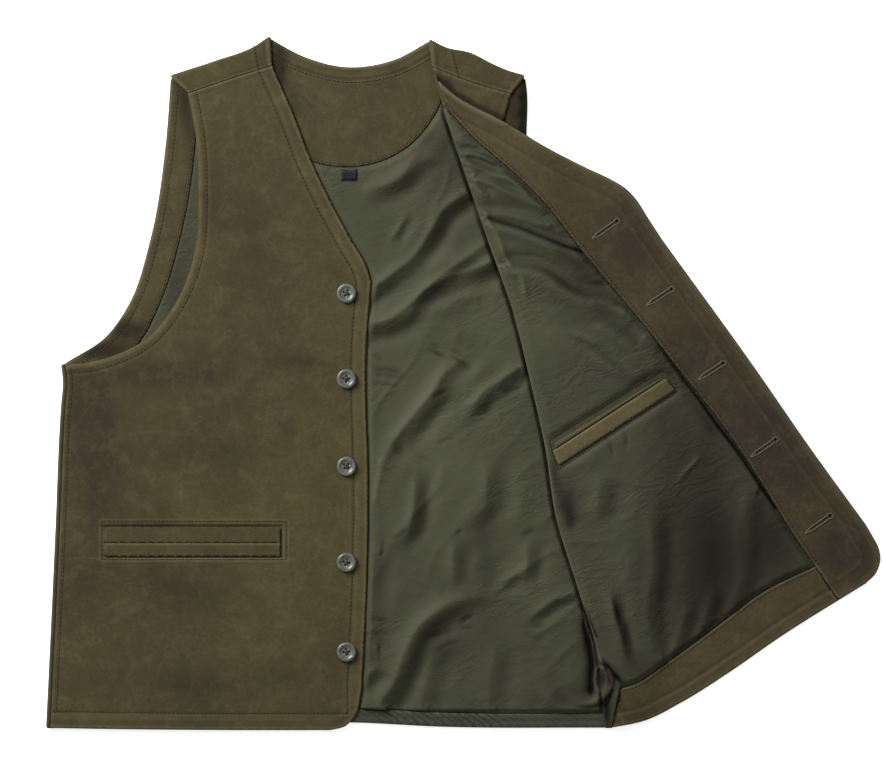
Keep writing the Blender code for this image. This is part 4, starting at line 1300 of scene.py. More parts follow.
SHOULDER_STITCHES = tuple(
    Seam(photo(points), 1)
    for points in (((259, 73), (256, 58), (253.5, 45)), ((458.5, 76), (456, 66), (452.5, 52)))
)
STRAP_ENDS = tuple(
    Seam(np.array(points, float), side)
    for points, side in (
        (((-284, 297), (-267, 281)), 1), (((-188, 333), (-185, 308)), -1),
        (((-32, 330), (-30, 307)), 1), (((60, 296), (47, 281)), -1),
    )
)
SHOULDER_MARKS = (
    (Seam(run_of(SEAM_LEFT), 1), ((1.0, 0.1, 0.9, 0.4), (3.6, -0.12, 1.2, -0.3))),
    (Seam(run_of(SEAM_RIGHT), 1), ((1.0, 0.1, 1.0, 0.6), (4.2, -0.15, 1.4, -0.3))),
    *((seam, ((0.0, -0.28, 1.1, -0.4), (2.2, 0.12, 1.3, 0.2))) for seam in SHOULDER_STITCHES),
    *((seam, ((2.2, 0.45, 2.0, 0.6), (5.6, -0.15, 1.5, -0.25))) for seam in STRAP_ENDS),
)
SHOULDER_GATHERS = (
    (Seam(run_of(SEAM_RIGHT), 1), 0.5, 5.0, 0.22, 6.0, 2.1),
    (Seam(run_of(SEAM_LEFT), 1), 0.5, 4.0, 0.12, 7.0, 1.1),
)
# Left of this the turned-up side strip is painted into shade
SIDE_STRIP = -380.0
HIDDEN_MARKS = (
    (SHOULDER_SEAM_RIGHT, ((1.3, 0.3, 1.0, 0.8), (5.0, -0.12, 1.4, -0.2))),
    # Painted shadow beside the flap's rolled neck edge
    (Seam(run_of(FLAP_NECK[:3]), 1), ((1.0, 0.0, 3.0, -2.2),)),
    (Seam(run_of(HIDDEN_ARMHOLE), -1), ((1.6, 0.3, 1.4, 0.4), (7.0, -0.2, 1.2, -0.2))),
)
HIDDEN_GATHERS = ((SHOULDER_SEAM_RIGHT, 0.5, 9.0, 0.7, 5.5, 3.1),)


def closed_seam(xy, lines, beyond=0.0):
    """1 at a seam where the outer faces of both pieces meet, and the value beyond away from it."""
    away = np.min([distance(xy, curve(line, 8.0)) for line in lines], axis=0)
    return beyond + (1 - beyond) * ramp(3.0 - away)


def make_front():
    """The wearer's right front, outside up, and the two welts of its pocket."""
    side = run_of(SIDE_LEFT)
    side = side + sideways(side) * (SIDE_TURN + CLOSE)
    loop = closed(
        run_of(V_NECK, BUTTON_EDGE, FRONT_CORNER, FRONT_HEM)[:-1], side[::-1],
        run_of(FRONT_ARMHOLE)[1:-1], run_of(SEAM_LEFT) - (0, CLOSE),
    )
    seams = (FRONT_EDGE, FRONT_ARM, FRONT_SIDE, SHOULDER_SEAM_LEFT)
    near = close_to([s.moved(8.0, 4.0) for s in seams], 9.0)
    at_pocket = close_to([POCKET_FRAME.points], 7.0)

    def fine(xy):
        return near(xy) | at_pocket(xy)

    plan = fill(loop, ((NEAR_SEAM, fine), (ON_LEATHER, everywhere)))
    joined = closed_seam(plan.xy, (SEAM_LEFT, side))
    lay("front_right", plan, *front_shape(plan.xy), LEATHER, NUBUCK, edge=TURNED_ROUND, lean=joined)
    for name, corners, low, high in WELT_SPANS:
        left, right = corners[0][0] - 0.8, corners[1][0] + 0.8
        ring = patch(((left, high), (right, high), (right, low), (left, low)), EDGE_STEP)
        welt = fill(ring, ((NEAR_SEAM, everywhere),))
        ridge = bell((welt.xy[:, 1] - WELT_RIDGE_Y) / 1.2)
        foot = bell((welt.xy[:, 1] - WELT_FOOT_Y) / 0.9)
        top = bell((welt.xy[:, 1] - WELT_TOP_Y) / 2.0)
        carried = FRONT_MID + crests(welt.xy, PANEL_SWELLS) + LEATHER + GAP
        z = carried - 0.75 + 0.35 * ridge - 0.3 * top + 0.08 * mottle(welt.xy, 9.0, 2.2)
        # Lighter on the ridge between the welts, painted shade under the window's top edge and at the upper
        # welt's foot
        lay(name, welt, z, 0.75 * ridge - 0.4 * top - 0.4 * foot, LEATHER, NUBUCK, edge=0.5, lean=1.0)


def make_back():
    """The back: flat on the floor, turned up round the left side and over both shoulders."""
    side_bend = run_of(SIDE_LEFT)
    side_bend = side_bend + sideways(side_bend) * BACK_REACH
    left_fold = run_of(SHOULDER_LEFT)
    right_fold = run_of(SHOULDER_RIGHT)
    left_bend = left_fold - sideways(left_fold) * BACK_REACH
    right_bend = right_fold - sideways(right_fold) * BACK_REACH
    right_side = run_of(SIDE_RIGHT, step=4.0) - (BACK_REACH + GAP, 0)
    hem = run_of(BACK_HEM)
    loop = closed(
        left_bend, run_of(BACK_NECK)[1:-1], right_bend, run_of(ARMHOLE_RIGHT)[1:-1],
        right_side, hem[::-1][1:-1], side_bend[::-1], run_of(ARMHOLE_LEFT)[::-1][1:-1],
    )
    open_edges = [run_of(row) for row in (BACK_NECK, ARMHOLE_LEFT, ARMHOLE_RIGHT)]
    near = close_to([hem, right_side, *open_edges], 5.0)
    plan = fill(loop, ((HIDDEN_EDGE, near), (HIDDEN, everywhere)))
    sheet = Sheet()
    ids = sheet.panel(plan, back_height(plan.xy), -1.0)
    turns = (
        (side_bend, -sideways(side_bend), side_bend + sideways(side_bend) * (SIDE_TURN - BACK_REACH), 2),
        (left_bend, sideways(left_bend), matched(curve(SEAM_LEFT, 1.0), len(left_bend)), 14),
        (right_bend, sideways(right_bend), matched(curve(SEAM_RIGHT, 1.0), len(right_bend)), 14),
    )
    count = len(sheet.points)
    for bend, out, seam, rows in turns:
        lower = chain(plan, ids, bend)
        upper = sheet.row(bend, FRONT_MID, (0.0, 0.0, 1.0))
        sheet.bend(lower, upper, out, BACK_BEND, -1.0)
        sheet.strip(upper, seam, rows, FRONT_MID)
    top = (sheet.points[:, 2] > FRONT_MID - 1e-6) & (np.arange(len(sheet.points)) >= count)
    z, marks = shoulder_shape(sheet.points[top][:, :2])
    sheet.points[top, 2] = z
    wear_and_shade = np.zeros(len(sheet.points))
    wear_and_shade[top] = marks
    side_seam = side_bend + (SIDE_TURN - BACK_REACH, 0)
    joined = closed_seam(sheet.points[:, :2], (SEAM_LEFT, SEAM_RIGHT, side_seam))
    made = shell("back_panel", sheet, LEATHER, NUBUCK, wear_and_shade, edge=TURNED_ROUND, lean=joined)


def back_height(xy):
    """Middle of the back's wall: flat on the floor, but for shallow waves that just lift it off."""
    outline = np.vstack([curve(row) for row in (ARMHOLE_LEFT, SIDE_LEFT, BACK_HEM)])
    outline = np.vstack((outline, curve(SIDE_RIGHT)[::-1], curve(ARMHOLE_RIGHT)[::-1]))
    clear = ramp((distance(xy, outline) - 4) / 25) * ramp((distance(xy, curve(BACK_NECK)) - 4) / 25)
    return BACK_MID + np.maximum(strokes(xy, BACK_SWELLS, groove), 0.0) * clear


def back_top(xy):
    """Upper face of the back's wall."""
    return back_height(xy) + LEATHER / 2


NECK_STITCHES = Seam(NECK_FACING_LOW.moved(2.8, EDGE_STEP), 1)
NECK_BAND = Seam(BACK_NECK_EDGE.moved(12.0, EDGE_STEP), -1)
ARM_FACING_STITCHES = Seam(ARM_FACING_INNER.moved(2.8, EDGE_STEP), -1)
ARM_EDGE_STITCHES = Seam(ARM_EDGE_LEFT.moved(8.0, EDGE_STEP), 1)
NECK_MARKS = (
    (NECK_FACING_LOW, ((1.2, 0.25, 1.2, 0.7),)),
    (NECK_STITCHES, ((0.0, -0.25, 0.9, -0.3),)),
    (BACK_NECK_EDGE, ((1.5, 0.2, 1.4, 0.35),)),
    (NECK_BAND, ((0.0, -0.35, 1.3, -0.4), (3.0, 0.2, 1.6, 0.35), (-3.0, 0.15, 1.6, 0.2))),
)
ARM_MARKS = (
    (ARM_FACING_INNER, ((1.2, 0.25, 1.2, 0.6),)),
    (ARM_FACING_STITCHES, ((0.0, -0.25, 0.9, -0.3),)),
    (ARM_EDGE_LEFT, ((1.6, 0.25, 1.5, 0.5),)),
    (ARM_EDGE_STITCHES, ((0.0, -0.25, 1.0, -0.3),)),
)
BACK_SHOWN_EDGE = np.vstack([curve(row, TRACK_STEP) for row in (V_NECK, BUTTON_EDGE, FRONT_CORNER)])
FOLD_TRACK = curve(FOLD_LINE, TRACK_STEP)

# Lines at which a lining's folds run on to its edge
BACK_SEAMS = np.vstack((
    BACK_SHOWN_EDGE, curve(BACK_HEM)[::-1] + (0, HEM_BAND), curve(FOLD_LINE)[::-1], neck_facing_edge()[::-1],
))
FLAP_SEAMS = np.vstack((curve(FOLD_LINE)[::-1], curve(FACING_EDGE), curve(HEM_FACING_EDGE)))


def lining_room(xy):
    """From 0 at the seams and where other cloth lies close, to 1 where the back lining is free to rise."""
    room = ramp((distance(xy, BACK_SHOWN_EDGE) - 0.5) / 5) * ramp((distance(xy, FOLD_TRACK) - 0.6) / 3.4)
    return room * ramp(distance(xy, neck_facing_edge()) / 6) * ramp((xy[:, 1] + 320) / 4)


def x_on(line, xy):
    """Where a line that runs down the garment lies, at each point's height."""
    return np.interp(-xy[:, 1], -line[:, 1], line[:, 0])


def between_fronts(xy, margin=0.0):
    """Whether the point shows between the closed front's edge and the fold of the other."""
    left = x_on(BACK_SHOWN_EDGE, xy)
    right = x_on(FOLD_TRACK, xy)
    return (xy[:, 0] > left - margin) & (xy[:, 0] < right + margin)


def back_lining_shape(xy):
    """Middle of the back lining's wall, and the painted shade along the fold and painted highlights on the
    thin folds at the side seam's foot.
    """
    shown = between_fronts(xy)
    room = lining_room(xy) * shown
    main = crests(xy, BACK_FOLDS) * room
    folds = strokes(xy, BACK_BANDS, band, BACK_SEAMS) + strokes(xy, BACK_LINES, groove, BACK_SEAMS)
    folds *= FOLD_GAIN
    folds += layers(xy, mottle, BACK_MOTTLES)
    folds += layers(xy, crinkle, BACK_CRINKLES)
    free = MAIN_SHARE * main + room * (FREE_LIFT + folds)
    close = 0.5 + 0.25 * folds
    lift = np.where(shown, free + (1 - room) * np.clip(close, 0.0, 1.2), 0.3)
    lift += gathers(xy, BACK_GATHERS) * shown
    dark, light = side_foot(xy)
    lift = above_zero(lift) * (1 - 0.3 * dark) + 2.5 * light
    lift = np.where(between_fronts(xy, -0.8), lift, np.minimum(lift, 1.1))
    # Painted shadow in the crease beside the fold
    fold_shadow = bell(distance(xy, FOLD_TRACK) / 2.0) * (0.7 + 0.7 * mottle(xy, 14.0, 3.9))
    return back_top(xy) + GAP + SATIN / 2 + lift, light - 1.1 * fold_shadow * ramp((xy[:, 1] - FOOT_Y) / 12)


def back_shade(xy):
    """How dark the back lining is painted: shade on its slopes, in its creases and in the hollow at the side
    seam's foot, and highlights on its ridges.
    """
    creases = strokes(xy, BACK_LINES, groove, BACK_SEAMS)
    return 0.15 * strokes(xy, BACK_BANDS, slope, BACK_SEAMS) - 1.5 * creases + side_foot(xy)[0]


# Height at which the open front's edge turns in beside the side seam's foot
FOOT_Y = -270.0


def side_foot(xy):
    """The hollows at the side seam's foot, lowered a little and painted dark, 0 to 2.4, and the thin folds
    round them, raised and painted light.
    """
    dark = strokes(xy, FOOT_DARKS, groove, FOLD_TRACK)
    return np.clip(dark, 0.0, 2.4), strokes(xy, FOOT_LIGHTS, groove, FOLD_TRACK)


BACK_GATHERS = (
    (Seam(neck_facing_edge(EDGE_STEP), -1), 0.0, 6.0, 0.5, 9.0, 2.7),
    (Seam(run_of(BACK_HEM) + (0, HEM_BAND), 1), 0.0, 9.0, 0.6, 13.0, 1.9),
    (Seam(run_of(ARMHOLE_FACING_EDGE), 1), 0.0, 6.0, 0.4, 10.0, 3.3),
)


def back_facing(xy, marks, wrinkles, shades, swells=()):
    """Middle of the wall of a facing on the back, and its wear, with painted shade from its table of shades.
    """
    lift, wear_and_shade = sewing(xy, marks)
    lift += 0.15 * (mottle(xy, 16.0, 6.1) + 1) + gathers(xy, wrinkles)
    lift += strokes(xy, swells, groove)
    return back_top(xy) + GAP + LEATHER / 2 + np.maximum(lift, -0.12), wear_and_shade + tones(xy, shades)


def neck_shape(xy):
    """Middle of the back neck facing's wall and its wear, with painted shade beside the V-neck."""
    wrinkles = ((NECK_BAND, 0.0, 5.0, 0.18, 7.0, 2.2),)
    return back_facing(xy, NECK_MARKS, wrinkles, NECK_SHADES, NECK_SWELLS)


def arm_shape(xy):
    """Middle of an armhole facing's wall and its wear, with painted shade in the armhole."""
    wrinkles = ((ARM_EDGE_STITCHES, -4.0, 8.0, 0.2, 6.0, 1.2),)
    return back_facing(xy, ARM_MARKS, wrinkles, ARM_SHADES)


def make_back_inside():
    """What is sewn to the inside of the back: lining, facings, hem band and size tab."""
    left_edge = run_of(SIDE_LEFT, step=4.0) + (INNER_MARGIN, 0)
    right_edge = run_of(SIDE_RIGHT, step=4.0) - (BACK_REACH + 1.0, 0)
    shoulder_left = run_of(SHOULDER_LEFT) - (0, INNER_MARGIN + 1)
    shoulder_right = run_of(SHOULDER_RIGHT) - (0, INNER_MARGIN + 1)
    loop = closed(
        shoulder_left, run_of(BACK_NECK)[1:-1] - (0, 1), shoulder_right, run_of(ARMHOLE_RIGHT)[1:-1],
        right_edge, run_of(BACK_HEM)[::-1][1:-1], left_edge[::-1], run_of(ARMHOLE_LEFT)[::-1][1:-1],
    )
    neck = neck_facing_edge(EDGE_STEP)
    neck = np.vstack(((neck[0][0] - 2, 360), neck, (neck[-1][0] + 2, 360)))
    left_arm = run_of(ARMHOLE_FACING_EDGE)
    left_arm = np.vstack(((left_arm[0][0], 340), left_arm, (-420, -20)))
    right_arm = np.array(mirrored(left_arm))
    hem = run_of(((-420, BACK_HEM[0][1]), *BACK_HEM[1:-1], (160, BACK_HEM[-1][1])))
    band_top = hem + (0, HEM_BAND)
    tab = patch(SIZE_TAB, 1.5)
    near = close_to([neck, band_top, left_arm[1:], BACK_NECK_EDGE.moved(9.0, 4.0)], 8.0)
    near_fold = close_to([curve(FOLD_LINE, 4.0)], 5.0)

    def shown_fine(xy):
        return (near(xy) | near_fold(xy)) & shown(xy)

    def shown(xy):
        return between_fronts(xy, 6.0) | ((xy[:, 0] < -238) & (xy[:, 1] > -8))

    def on_show(xy):
        return shown(xy) | ((xy[:, 1] > 190) & (xy[:, 0] > -200) & (xy[:, 0] < 0))

    plan = fill(
        loop, ((NEAR_SEAM, shown_fine), (ON_SATIN, on_show), (HIDDEN, everywhere)),
        lines=(neck, left_arm, right_arm, band_top), rings=(tab,),
    )
    centres = plan.centres()
    in_neck = inside(centres, neck)
    in_left = inside(centres, np.vstack((left_arm, (-420, 340))))
    in_right = inside(centres, np.vstack((right_arm, (200, 340))))
    in_band = inside(centres, np.vstack((band_top, (160, -400), (-420, -400))))
    for name, keep, shape in (
        ("back_neck_facing", in_neck, neck_shape),
        ("back_armhole_facing_left", in_left, arm_shape),
        ("back_armhole_facing_right", in_right, arm_shape),
    ):
        piece = plan.part(keep)
        lay(name, piece, *shape(piece.xy), LEATHER, NUBUCK, edge=FACING_ROUND, lean=-1.0)
    make_hem_band(plan.part(in_band), hem)
    lining = plan.part(~(in_neck | in_left | in_right | in_band))
    z, wear_and_shade = back_lining_shape(lining.xy)
    lay("back_lining", lining, z, wear_and_shade, SATIN, SATIN_CLOTH, slot="satin", shade=back_shade(lining.xy))
    on_lining = plan.part(inside(centres, tab), 0.0)
    z, wear_and_shade = back_lining_shape(on_lining.xy)
    z = z + SATIN / 2 + GAP + RIBBON / 2 + 0.2
    lay("size_tab", on_lining, z, wear_and_shade, RIBBON, BLACK_RIBBON, slot="ribbon")


NECK_SWELLS = (
    (0.6, 14, (310, 110), (350, 128), (400, 118)),
    (-0.4, 10, (330, 90), (370, 96), (420, 84)),
)


def make_hem_band(piece, hem):
    """The narrow twill band that finishes the back's hem, gathered and roped, with painted light on the ropes'
    crests and painted shade in their troughs.
    """
    edge = Seam(hem, 1)
    _, across, along = edge.measure(piece.xy, 30.0)
    roll = 0.5 * bell((across - 3.0) / 2.2) + 0.45 * bell((across - 10.5) / 2.4)
    strong = 0.45 + 1.1 * ramp((piece.xy[:, 0] + 90) / 30) * ramp((60 - piece.xy[:, 0]) / 40)
    twist = strong * ripple(along + 1.5 * across, 9.0, 2.9) * ramp(across / 3) * ramp((14.5 - across) / 3)
    z = back_top(piece.xy) + GAP + TWILL / 2 + 0.05 + above_zero(0.4 + roll + twist)
    lay("back_hem_band", piece, z, 0.2 * roll + 0.6 * twist, TWILL, TWILL_CLOTH, edge=1.0, slot="twill")


def flap_height(xy):
    """Middle of the turned-back front's wall: over the back, then down beside it to the floor."""
    support = np.vstack((curve(ARMHOLE_RIGHT), curve(SIDE_RIGHT)[1:], [(140, -400)]))
    beyond = np.where(xy[:, 0] > x_on(support, xy), distance(xy, support), 0.0)
    clear = ramp((distance(xy, FLAP_OUTER.points[::12]) - 3) / 25)
    clear *= ramp((distance(xy, curve(FOLD_LINE)) - 6) / 25)
    rise = np.maximum(strokes(xy, FLAP_SWELLS, groove), 0.0) * clear
    return BACK_MID + (FLAP_MID - BACK_MID) * (1 - ramp((beyond - DESCENT_START) / DESCENT)) + rise


def keyhole(x0, y0, x1, y1, half, radius, shift=0.0):
    """Outline of a keyhole: a slit with a round eyelet at its outer end, moved sideways by the shift."""
    run = np.array((x1 - x0, y1 - y0), float)
    length = math.hypot(*run)
    run /= length
    left = np.array((-run[1], run[0]))
    turn = math.asin(half / radius)
    eye = length - EYELET_RADIUS
    stops = np.arange(0.0, eye - radius, 2.0)
    corners = [(a, -half) for a in stops]
    for k in range(13):
        angle = -math.pi + turn + k * (2 * math.pi - 2 * turn) / 12
        corners.append((eye + radius * math.cos(angle), radius * math.sin(angle)))
    corners += [(a, half) for a in stops[::-1]]
    return np.array([(x0, y0) + run * a + left * (b + shift) for a, b in corners])


FACING_STITCHES = Seam(FACING_INNER.moved(2.9, EDGE_STEP), 1)
HEM_FACING_STITCHES = Seam(HEM_FACING_INNER.moved(2.9, EDGE_STEP), 1)
FACING_FOOT_SEAM = Seam(np.array(((342, -178), (364, -211))), 1)
NECK_ROLL = Seam(run_of(FLAP_NECK[:3]), -1)
FACING_MARKS = (
    # Painted highlight on the rolled neck edge and painted shade beyond it
    (NECK_ROLL, ((2.0, 0.6, 1.7, 1.6), (6.5, -0.15, 1.8, -0.4))),
    (FLAP_OUTER, (
        (1.6, 0.4, 1.2, 1.1), (5.2, 0.14, 1.4, 0.35), (16.0, -0.14, 1.6, -0.35), (18.5, 0.08, 1.4, 0.25),
    )),
    (FACING_INNER, ((1.2, 0.2, 1.2, 0.35),)),
    (FACING_STITCHES, ((0.0, -0.25, 0.9, -0.3),)),
    (FACING_FOOT_SEAM, ((1.2, 0.1, 1.3, 0.9),)),
)
HEM_MARKS = (
    (FLAP_OUTER, ((1.6, 0.35, 1.4, 0.8), (11.5, 0.2, 1.6, 0.6), (14.5, -0.3, 1.3, -0.55))),
    (HEM_FACING_INNER, ((1.0, 0.15, 1.2, 0.45),)),
    (HEM_FACING_STITCHES, ((0.0, -0.25, 0.9, -0.3),)),
    (FACING_FOOT_SEAM, ((-1.2, 0.1, 1.3, 0.7),)),
    (Seam(photo(((617, 708), (625, 727))), 1), ((0.0, 0.15, 0.9, 0.8),)),
)


def flap_lining_shape(xy):
    """Middle of the open front's lining, and the painted highlights on the thin folds at the side seam's foot.
    """
    seams = np.vstack((FACING_INNER.points[::6], HEM_FACING_INNER.points[::6]))
    at_seam = distance(xy, seams)
    at_fold = distance(xy, FOLD_TRACK)
    room = ramp((at_seam - 0.5) / 6) * (0.45 + 0.55 * ramp((at_fold - 2) / 7))
    main = crests(xy, FLAP_FOLDS) * ramp((at_seam - 2) / 14) * ramp((at_fold - 6) / 14)
    folds = strokes(xy, FLAP_BANDS, band, FLAP_SEAMS) + strokes(xy, FLAP_LINES, groove, FLAP_SEAMS)
    folds *= FLAP_GAIN
    folds += layers(xy, mottle, FLAP_MOTTLES)
    folds += layers(xy, crinkle, FLAP_CRINKLES)
    lift = MAIN_SHARE * main + room * (FLAP_LIFT + folds) + gathers(xy, FLAP_GATHERS)
    lift += gathers(xy, ((FOLD, 0.0, 9.0, 0.7, 19.0, 4.6),)) * ramp(at_fold / 3)
    sunk = bell(at_welt(xy) / 4.0)
    lift = HIGHEST_FOLD * np.tanh(above_zero(lift * (1 - sunk) + 0.05) / HIGHEST_FOLD)
    dark, light = side_foot(xy)
    lift = lift * (1 - 0.3 * dark) + 2.0 * light
    return flap_height(xy) + LEATHER / 2 + GAP + SATIN / 2 + lift, light


def flap_shade(xy):
    """How dark the open front's lining is painted: shade on its slopes, in its creases and in its hollows, and
    highlights on its ridges.
    """
    slopes = strokes(xy, FLAP_BANDS, slope, FLAP_SEAMS)
    creases = strokes(xy, FLAP_LINES, groove, FLAP_SEAMS)
    darks = strokes(xy, FLAP_DARKS, groove, FLAP_SEAMS)
    return 0.4 * slopes - 1.0 * creases + darks + side_foot(xy)[0]


def fold_highlight(xy):
    """The painted highlight on the open front's lining where it turns round the fold, and on the thin folds at
    the side seam's foot.
    """
    rim = bell((distance(xy, FOLD_TRACK) - 0.6) / 0.9)
    rim *= (0.3 + 0.7 * ramp((150 - xy[:, 1]) / 20)) * ramp((xy[:, 1] - FOOT_Y) / 8)
    return rim * (0.6 + 0.5 * mottle(xy, 24.0, 6.6)) + side_foot(xy)[1]


# Outline round the inner pocket's welt and strip
INNER_POCKET = ((85.0, -56.0), (193.0, 10.5), (201.5, 7.0), (207.5, -7.0), (93.0, -82.0))


def at_welt(xy):
    """How far each point lies from the inner pocket, zero within it."""
    ring = np.array(INNER_POCKET)
    return np.where(inside(xy, ring), 0.0, distance(xy, shut(ring)))


FLAP_GATHERS = (
    (Seam(run_of(FACING_EDGE), -1), 0.0, 9.0, 0.75, 12.0, 5.2),
    (Seam(run_of(HEM_FACING_EDGE), -1), 0.0, 7.0, 0.4, 12.0, 2.4),
    (Seam(np.array(((87, -66), (197, 5))), 1), 3.0, 6.0, 0.5, 10.0, 3.6),
    (Seam(np.array(((93, -80), (206, -7))), -1), 0.0, 6.0, 0.5, 10.0, 6.6),
)


def make_flap():
    """The wearer's left front: from its side seam over a hidden layer, then turned back at the fold."""
    side = run_of(SIDE_RIGHT, step=3.0) - (BACK_REACH, 0)
    fold = run_of(FOLD_LINE)
    outward = -sideways(fold)
    fold_bend = fold - outward * LINING_REACH
    hidden_loop = closed(
        side, fold_bend[::-1], curve(SEAM_RIGHT, 3.0)[:-1] - (0, CLOSE), curve(HIDDEN_ARMHOLE, 3.0)[:-1],
    )
    shoulder_part = close_to([curve(SEAM_RIGHT, 3.0), run_of(FLAP_NECK), curve(HIDDEN_ARMHOLE, 3.0)], 12.0)
    hidden = fill(hidden_loop, ((HIDDEN_EDGE, shoulder_part), (HIDDEN, everywhere)))
    flap_hem = run_of(FLAP_HEM)
    flap_loop = closed(
        fold_bend, flap_hem[::-1][1:], run_of(FLAP_ROUND)[::-1][1:], run_of(FLAP_EDGE)[::-1][1:],
        run_of(FLAP_CORNER)[::-1][1:], run_of(FLAP_NECK)[::-1][1:-1],
    )
    facing_edge = run_of(FACING_EDGE)
    facing_edge[0] = fold_bend[np.argmin(np.hypot(*(fold_bend - facing_edge[0]).T))]
    seam_foot = flap_hem[np.argmin(np.hypot(*(flap_hem - FACING_SEAM_FOOT).T))]
    band_foot = flap_hem[np.argmin(np.hypot(*(flap_hem[:-1] - HEM_FACING_FOOT).T))]
    band_edge = run_of(HEM_FACING_EDGE)
    lines = (facing_edge, curve((facing_edge[-1], seam_foot), 1.6), np.vstack((band_edge, band_foot)))
    slits = [keyhole(*row, LIP, EYE) for row in BUTTONHOLES]
    lower_slits = [keyhole(*row, LIP, 3 * LIP, LOWER_SHIFT) for row in BUTTONHOLES]
    edge_zone = close_to([FLAP_OUTER.points, FACING_INNER.points, HEM_FACING_INNER.points], 6.0)
    holes_zone = close_to([np.array(row).reshape(2, 2) for row in BUTTONHOLES], 5.0)

    def fine(xy):
        return edge_zone(xy) | holes_zone(xy)

    levels = ((NEAR_SEAM, fine), (ON_SATIN, everywhere))
    plan = fill(flap_loop, levels, lines=lines, rings=slits)
    levels = ((HIDDEN_EDGE, edge_zone), (UNDER_FACING, everywhere))
    under = fill(flap_loop, levels, rings=lower_slits)
    leather = under.part(~in_any(under.centres(), lower_slits), 0.0)
    z, wear_and_shade = hidden_shape(hidden.xy)
    sheet = Sheet()
    hidden_ids = sheet.panel(hidden, z, 1.0)
    flap_ids = sheet.panel(leather, flap_height(leather.xy), -1.0)
    foot = sheet.row(side, BACK_MID, (0.0, 0.0, -1.0))
    sheet.bend(foot, chain(hidden, hidden_ids, side), sideways(side), BACK_BEND, -1.0)
    lower = chain(hidden, hidden_ids, fold_bend)
    sheet.bend(lower, chain(leather, flap_ids, fold_bend), outward, FRONT_BEND, 1.0)
    worn_and_shaded = np.zeros(len(sheet.points))
    worn_and_shaded[hidden_ids] = wear_and_shade
    joined = closed_seam(sheet.points[:, :2], (SEAM_RIGHT,), -1.0)
    made = shell("front_left", sheet, LEATHER, NUBUCK, worn_and_shaded, lean=joined, edge=FACING_ROUND)

    centres = plan.centres()
    out = np.array([(500, 400), (-60, 400)])
    in_facing = inside(centres, np.vstack((facing_edge, seam_foot, (400, -260), (500, -200), out)))
    in_band = inside(centres, np.vstack((band_edge, band_foot, (150, -400), (400, -260), seam_foot)))
    for name, keep, shape in (
        ("front_left_facing", in_facing & ~in_any(centres, slits), facing_shape),
        ("front_left_hem_facing", in_band, hem_facing_shape),
    ):
        piece = plan.part(keep)
        lay(name, piece, *shape(piece.xy), LEATHER, FACING_NUBUCK, edge=FACING_ROUND, lean=-1.0)
    make_flap_lining(plan, ~(in_facing | in_band), fold_bend, side, outward)
    for name, corners, step, tan in (
        ("inner_pocket_welt", INNER_WELT, NEAR_SEAM, WELT_NUBUCK),
        ("inner_pocket_strip", INNER_STRIP, STRIP_STEP, NUBUCK),
    ):
        piece = fill(patch(corners, step), ((step, everywhere),))
        lay(name, piece, *inner_welt_shape(piece.xy), LEATHER, tan, edge=step)


def facing_shape(xy, marks=FACING_MARKS):
    """Middle of the wall of one of the open front's facings, by its marks, and its wear, with painted
    highlights on its rolled edges and painted shade in its grooves.
    """
    lift, wear_and_shade = sewing(xy, marks)
    lift = np.maximum(lift + 0.15 * (mottle(xy, 18.0, 7.7) + 1), -0.15)
    return flap_height(xy) + LEATHER + GAP + lift, wear_and_shade


def hem_facing_shape(xy):
    """Middle of the hem facing's wall and its wear, with painted highlights and shade by its marks."""
    return facing_shape(xy, HEM_MARKS)


def inner_welt_shape(xy):
    """Middle of the inner pocket's welt and strip, and their wear."""
    ring = shut(np.array(INNER_WELT, float))
    rim = ramp(distance(xy, ring) / 3.0) * inside(xy, ring)
    carried = flap_height(xy) + LEATHER + GAP + SATIN + GAP + flap_lift(xy)
    return carried + 0.5 + 0.2 * rim + 0.08 * mottle(xy, 9.0, 5.1), 0.35 - 0.4 * rim


def flap_lift(xy):
    """Main folds of the open front's lining, fading at the seams round it."""
    seams = np.vstack((curve(FACING_EDGE), curve(HEM_FACING_EDGE)))
    clear = ramp((distance(xy, seams) - 2) / 14) * ramp((distance(xy, curve(FOLD_LINE)) - 6) / 14)
    return crests(xy, FLAP_FOLDS) * clear


def make_flap_lining(plan, keep, fold_bend, side, outward):
    """The open front's lining: on the flap, round the fold and tucked a little way under it."""
    piece = plan.part(keep)
    z = flap_lining_shape(piece.xy)[0]
    first = int(np.argmin(np.abs(fold_bend[:, 1] - FACING_EDGE[0][1]))) + 1
    edge = fold_bend[first:-1]
    out = outward[first:-1]
    sheet = Sheet()
    ids = sheet.panel(piece, z, 1.0)
    upper = chain(piece, ids, edge)
    edge = sheet.points[upper][:, :2]
    under = FRONT_MID + FRONT_BEND - LINING_BEND
    lower = sheet.row(edge, under, (0.0, 0.0, -1.0))
    nominal = flap_height(edge) + LEATHER / 2 + GAP + SATIN / 2
    sheet.bend(lower, upper, out, LINING_BEND, -1.0, sheet.points[upper][:, 2] - nominal)
    room = x_on(side, edge) - edge[:, 0] - BACK_REACH / 2
    depth = np.clip(room, GAP, TUCK)[:, None]
    sheet.join(sheet.row(edge - out * depth, under, (0.0, 0.0, -1.0)), lower)
    xy = sheet.points[:, :2]
    tone_and_shade = tones(xy, TONES["front_left_lining"]) + flap_shade(xy)
    made = shell("front_left_lining", sheet, SATIN, SATIN_CLOTH, fold_highlight(xy), tone_and_shade)


# One stitch: five cross-sections as share of the length, share of the radius and sink
STITCH_SECTIONS = (
    (-0.5, 0.25, -0.55), (-0.3, 0.9, -0.05), (0.0, 1.0, 0.12), (0.3, 0.9, -0.05), (0.5, 0.25, -0.55),
)
STITCH_SIDES = 5


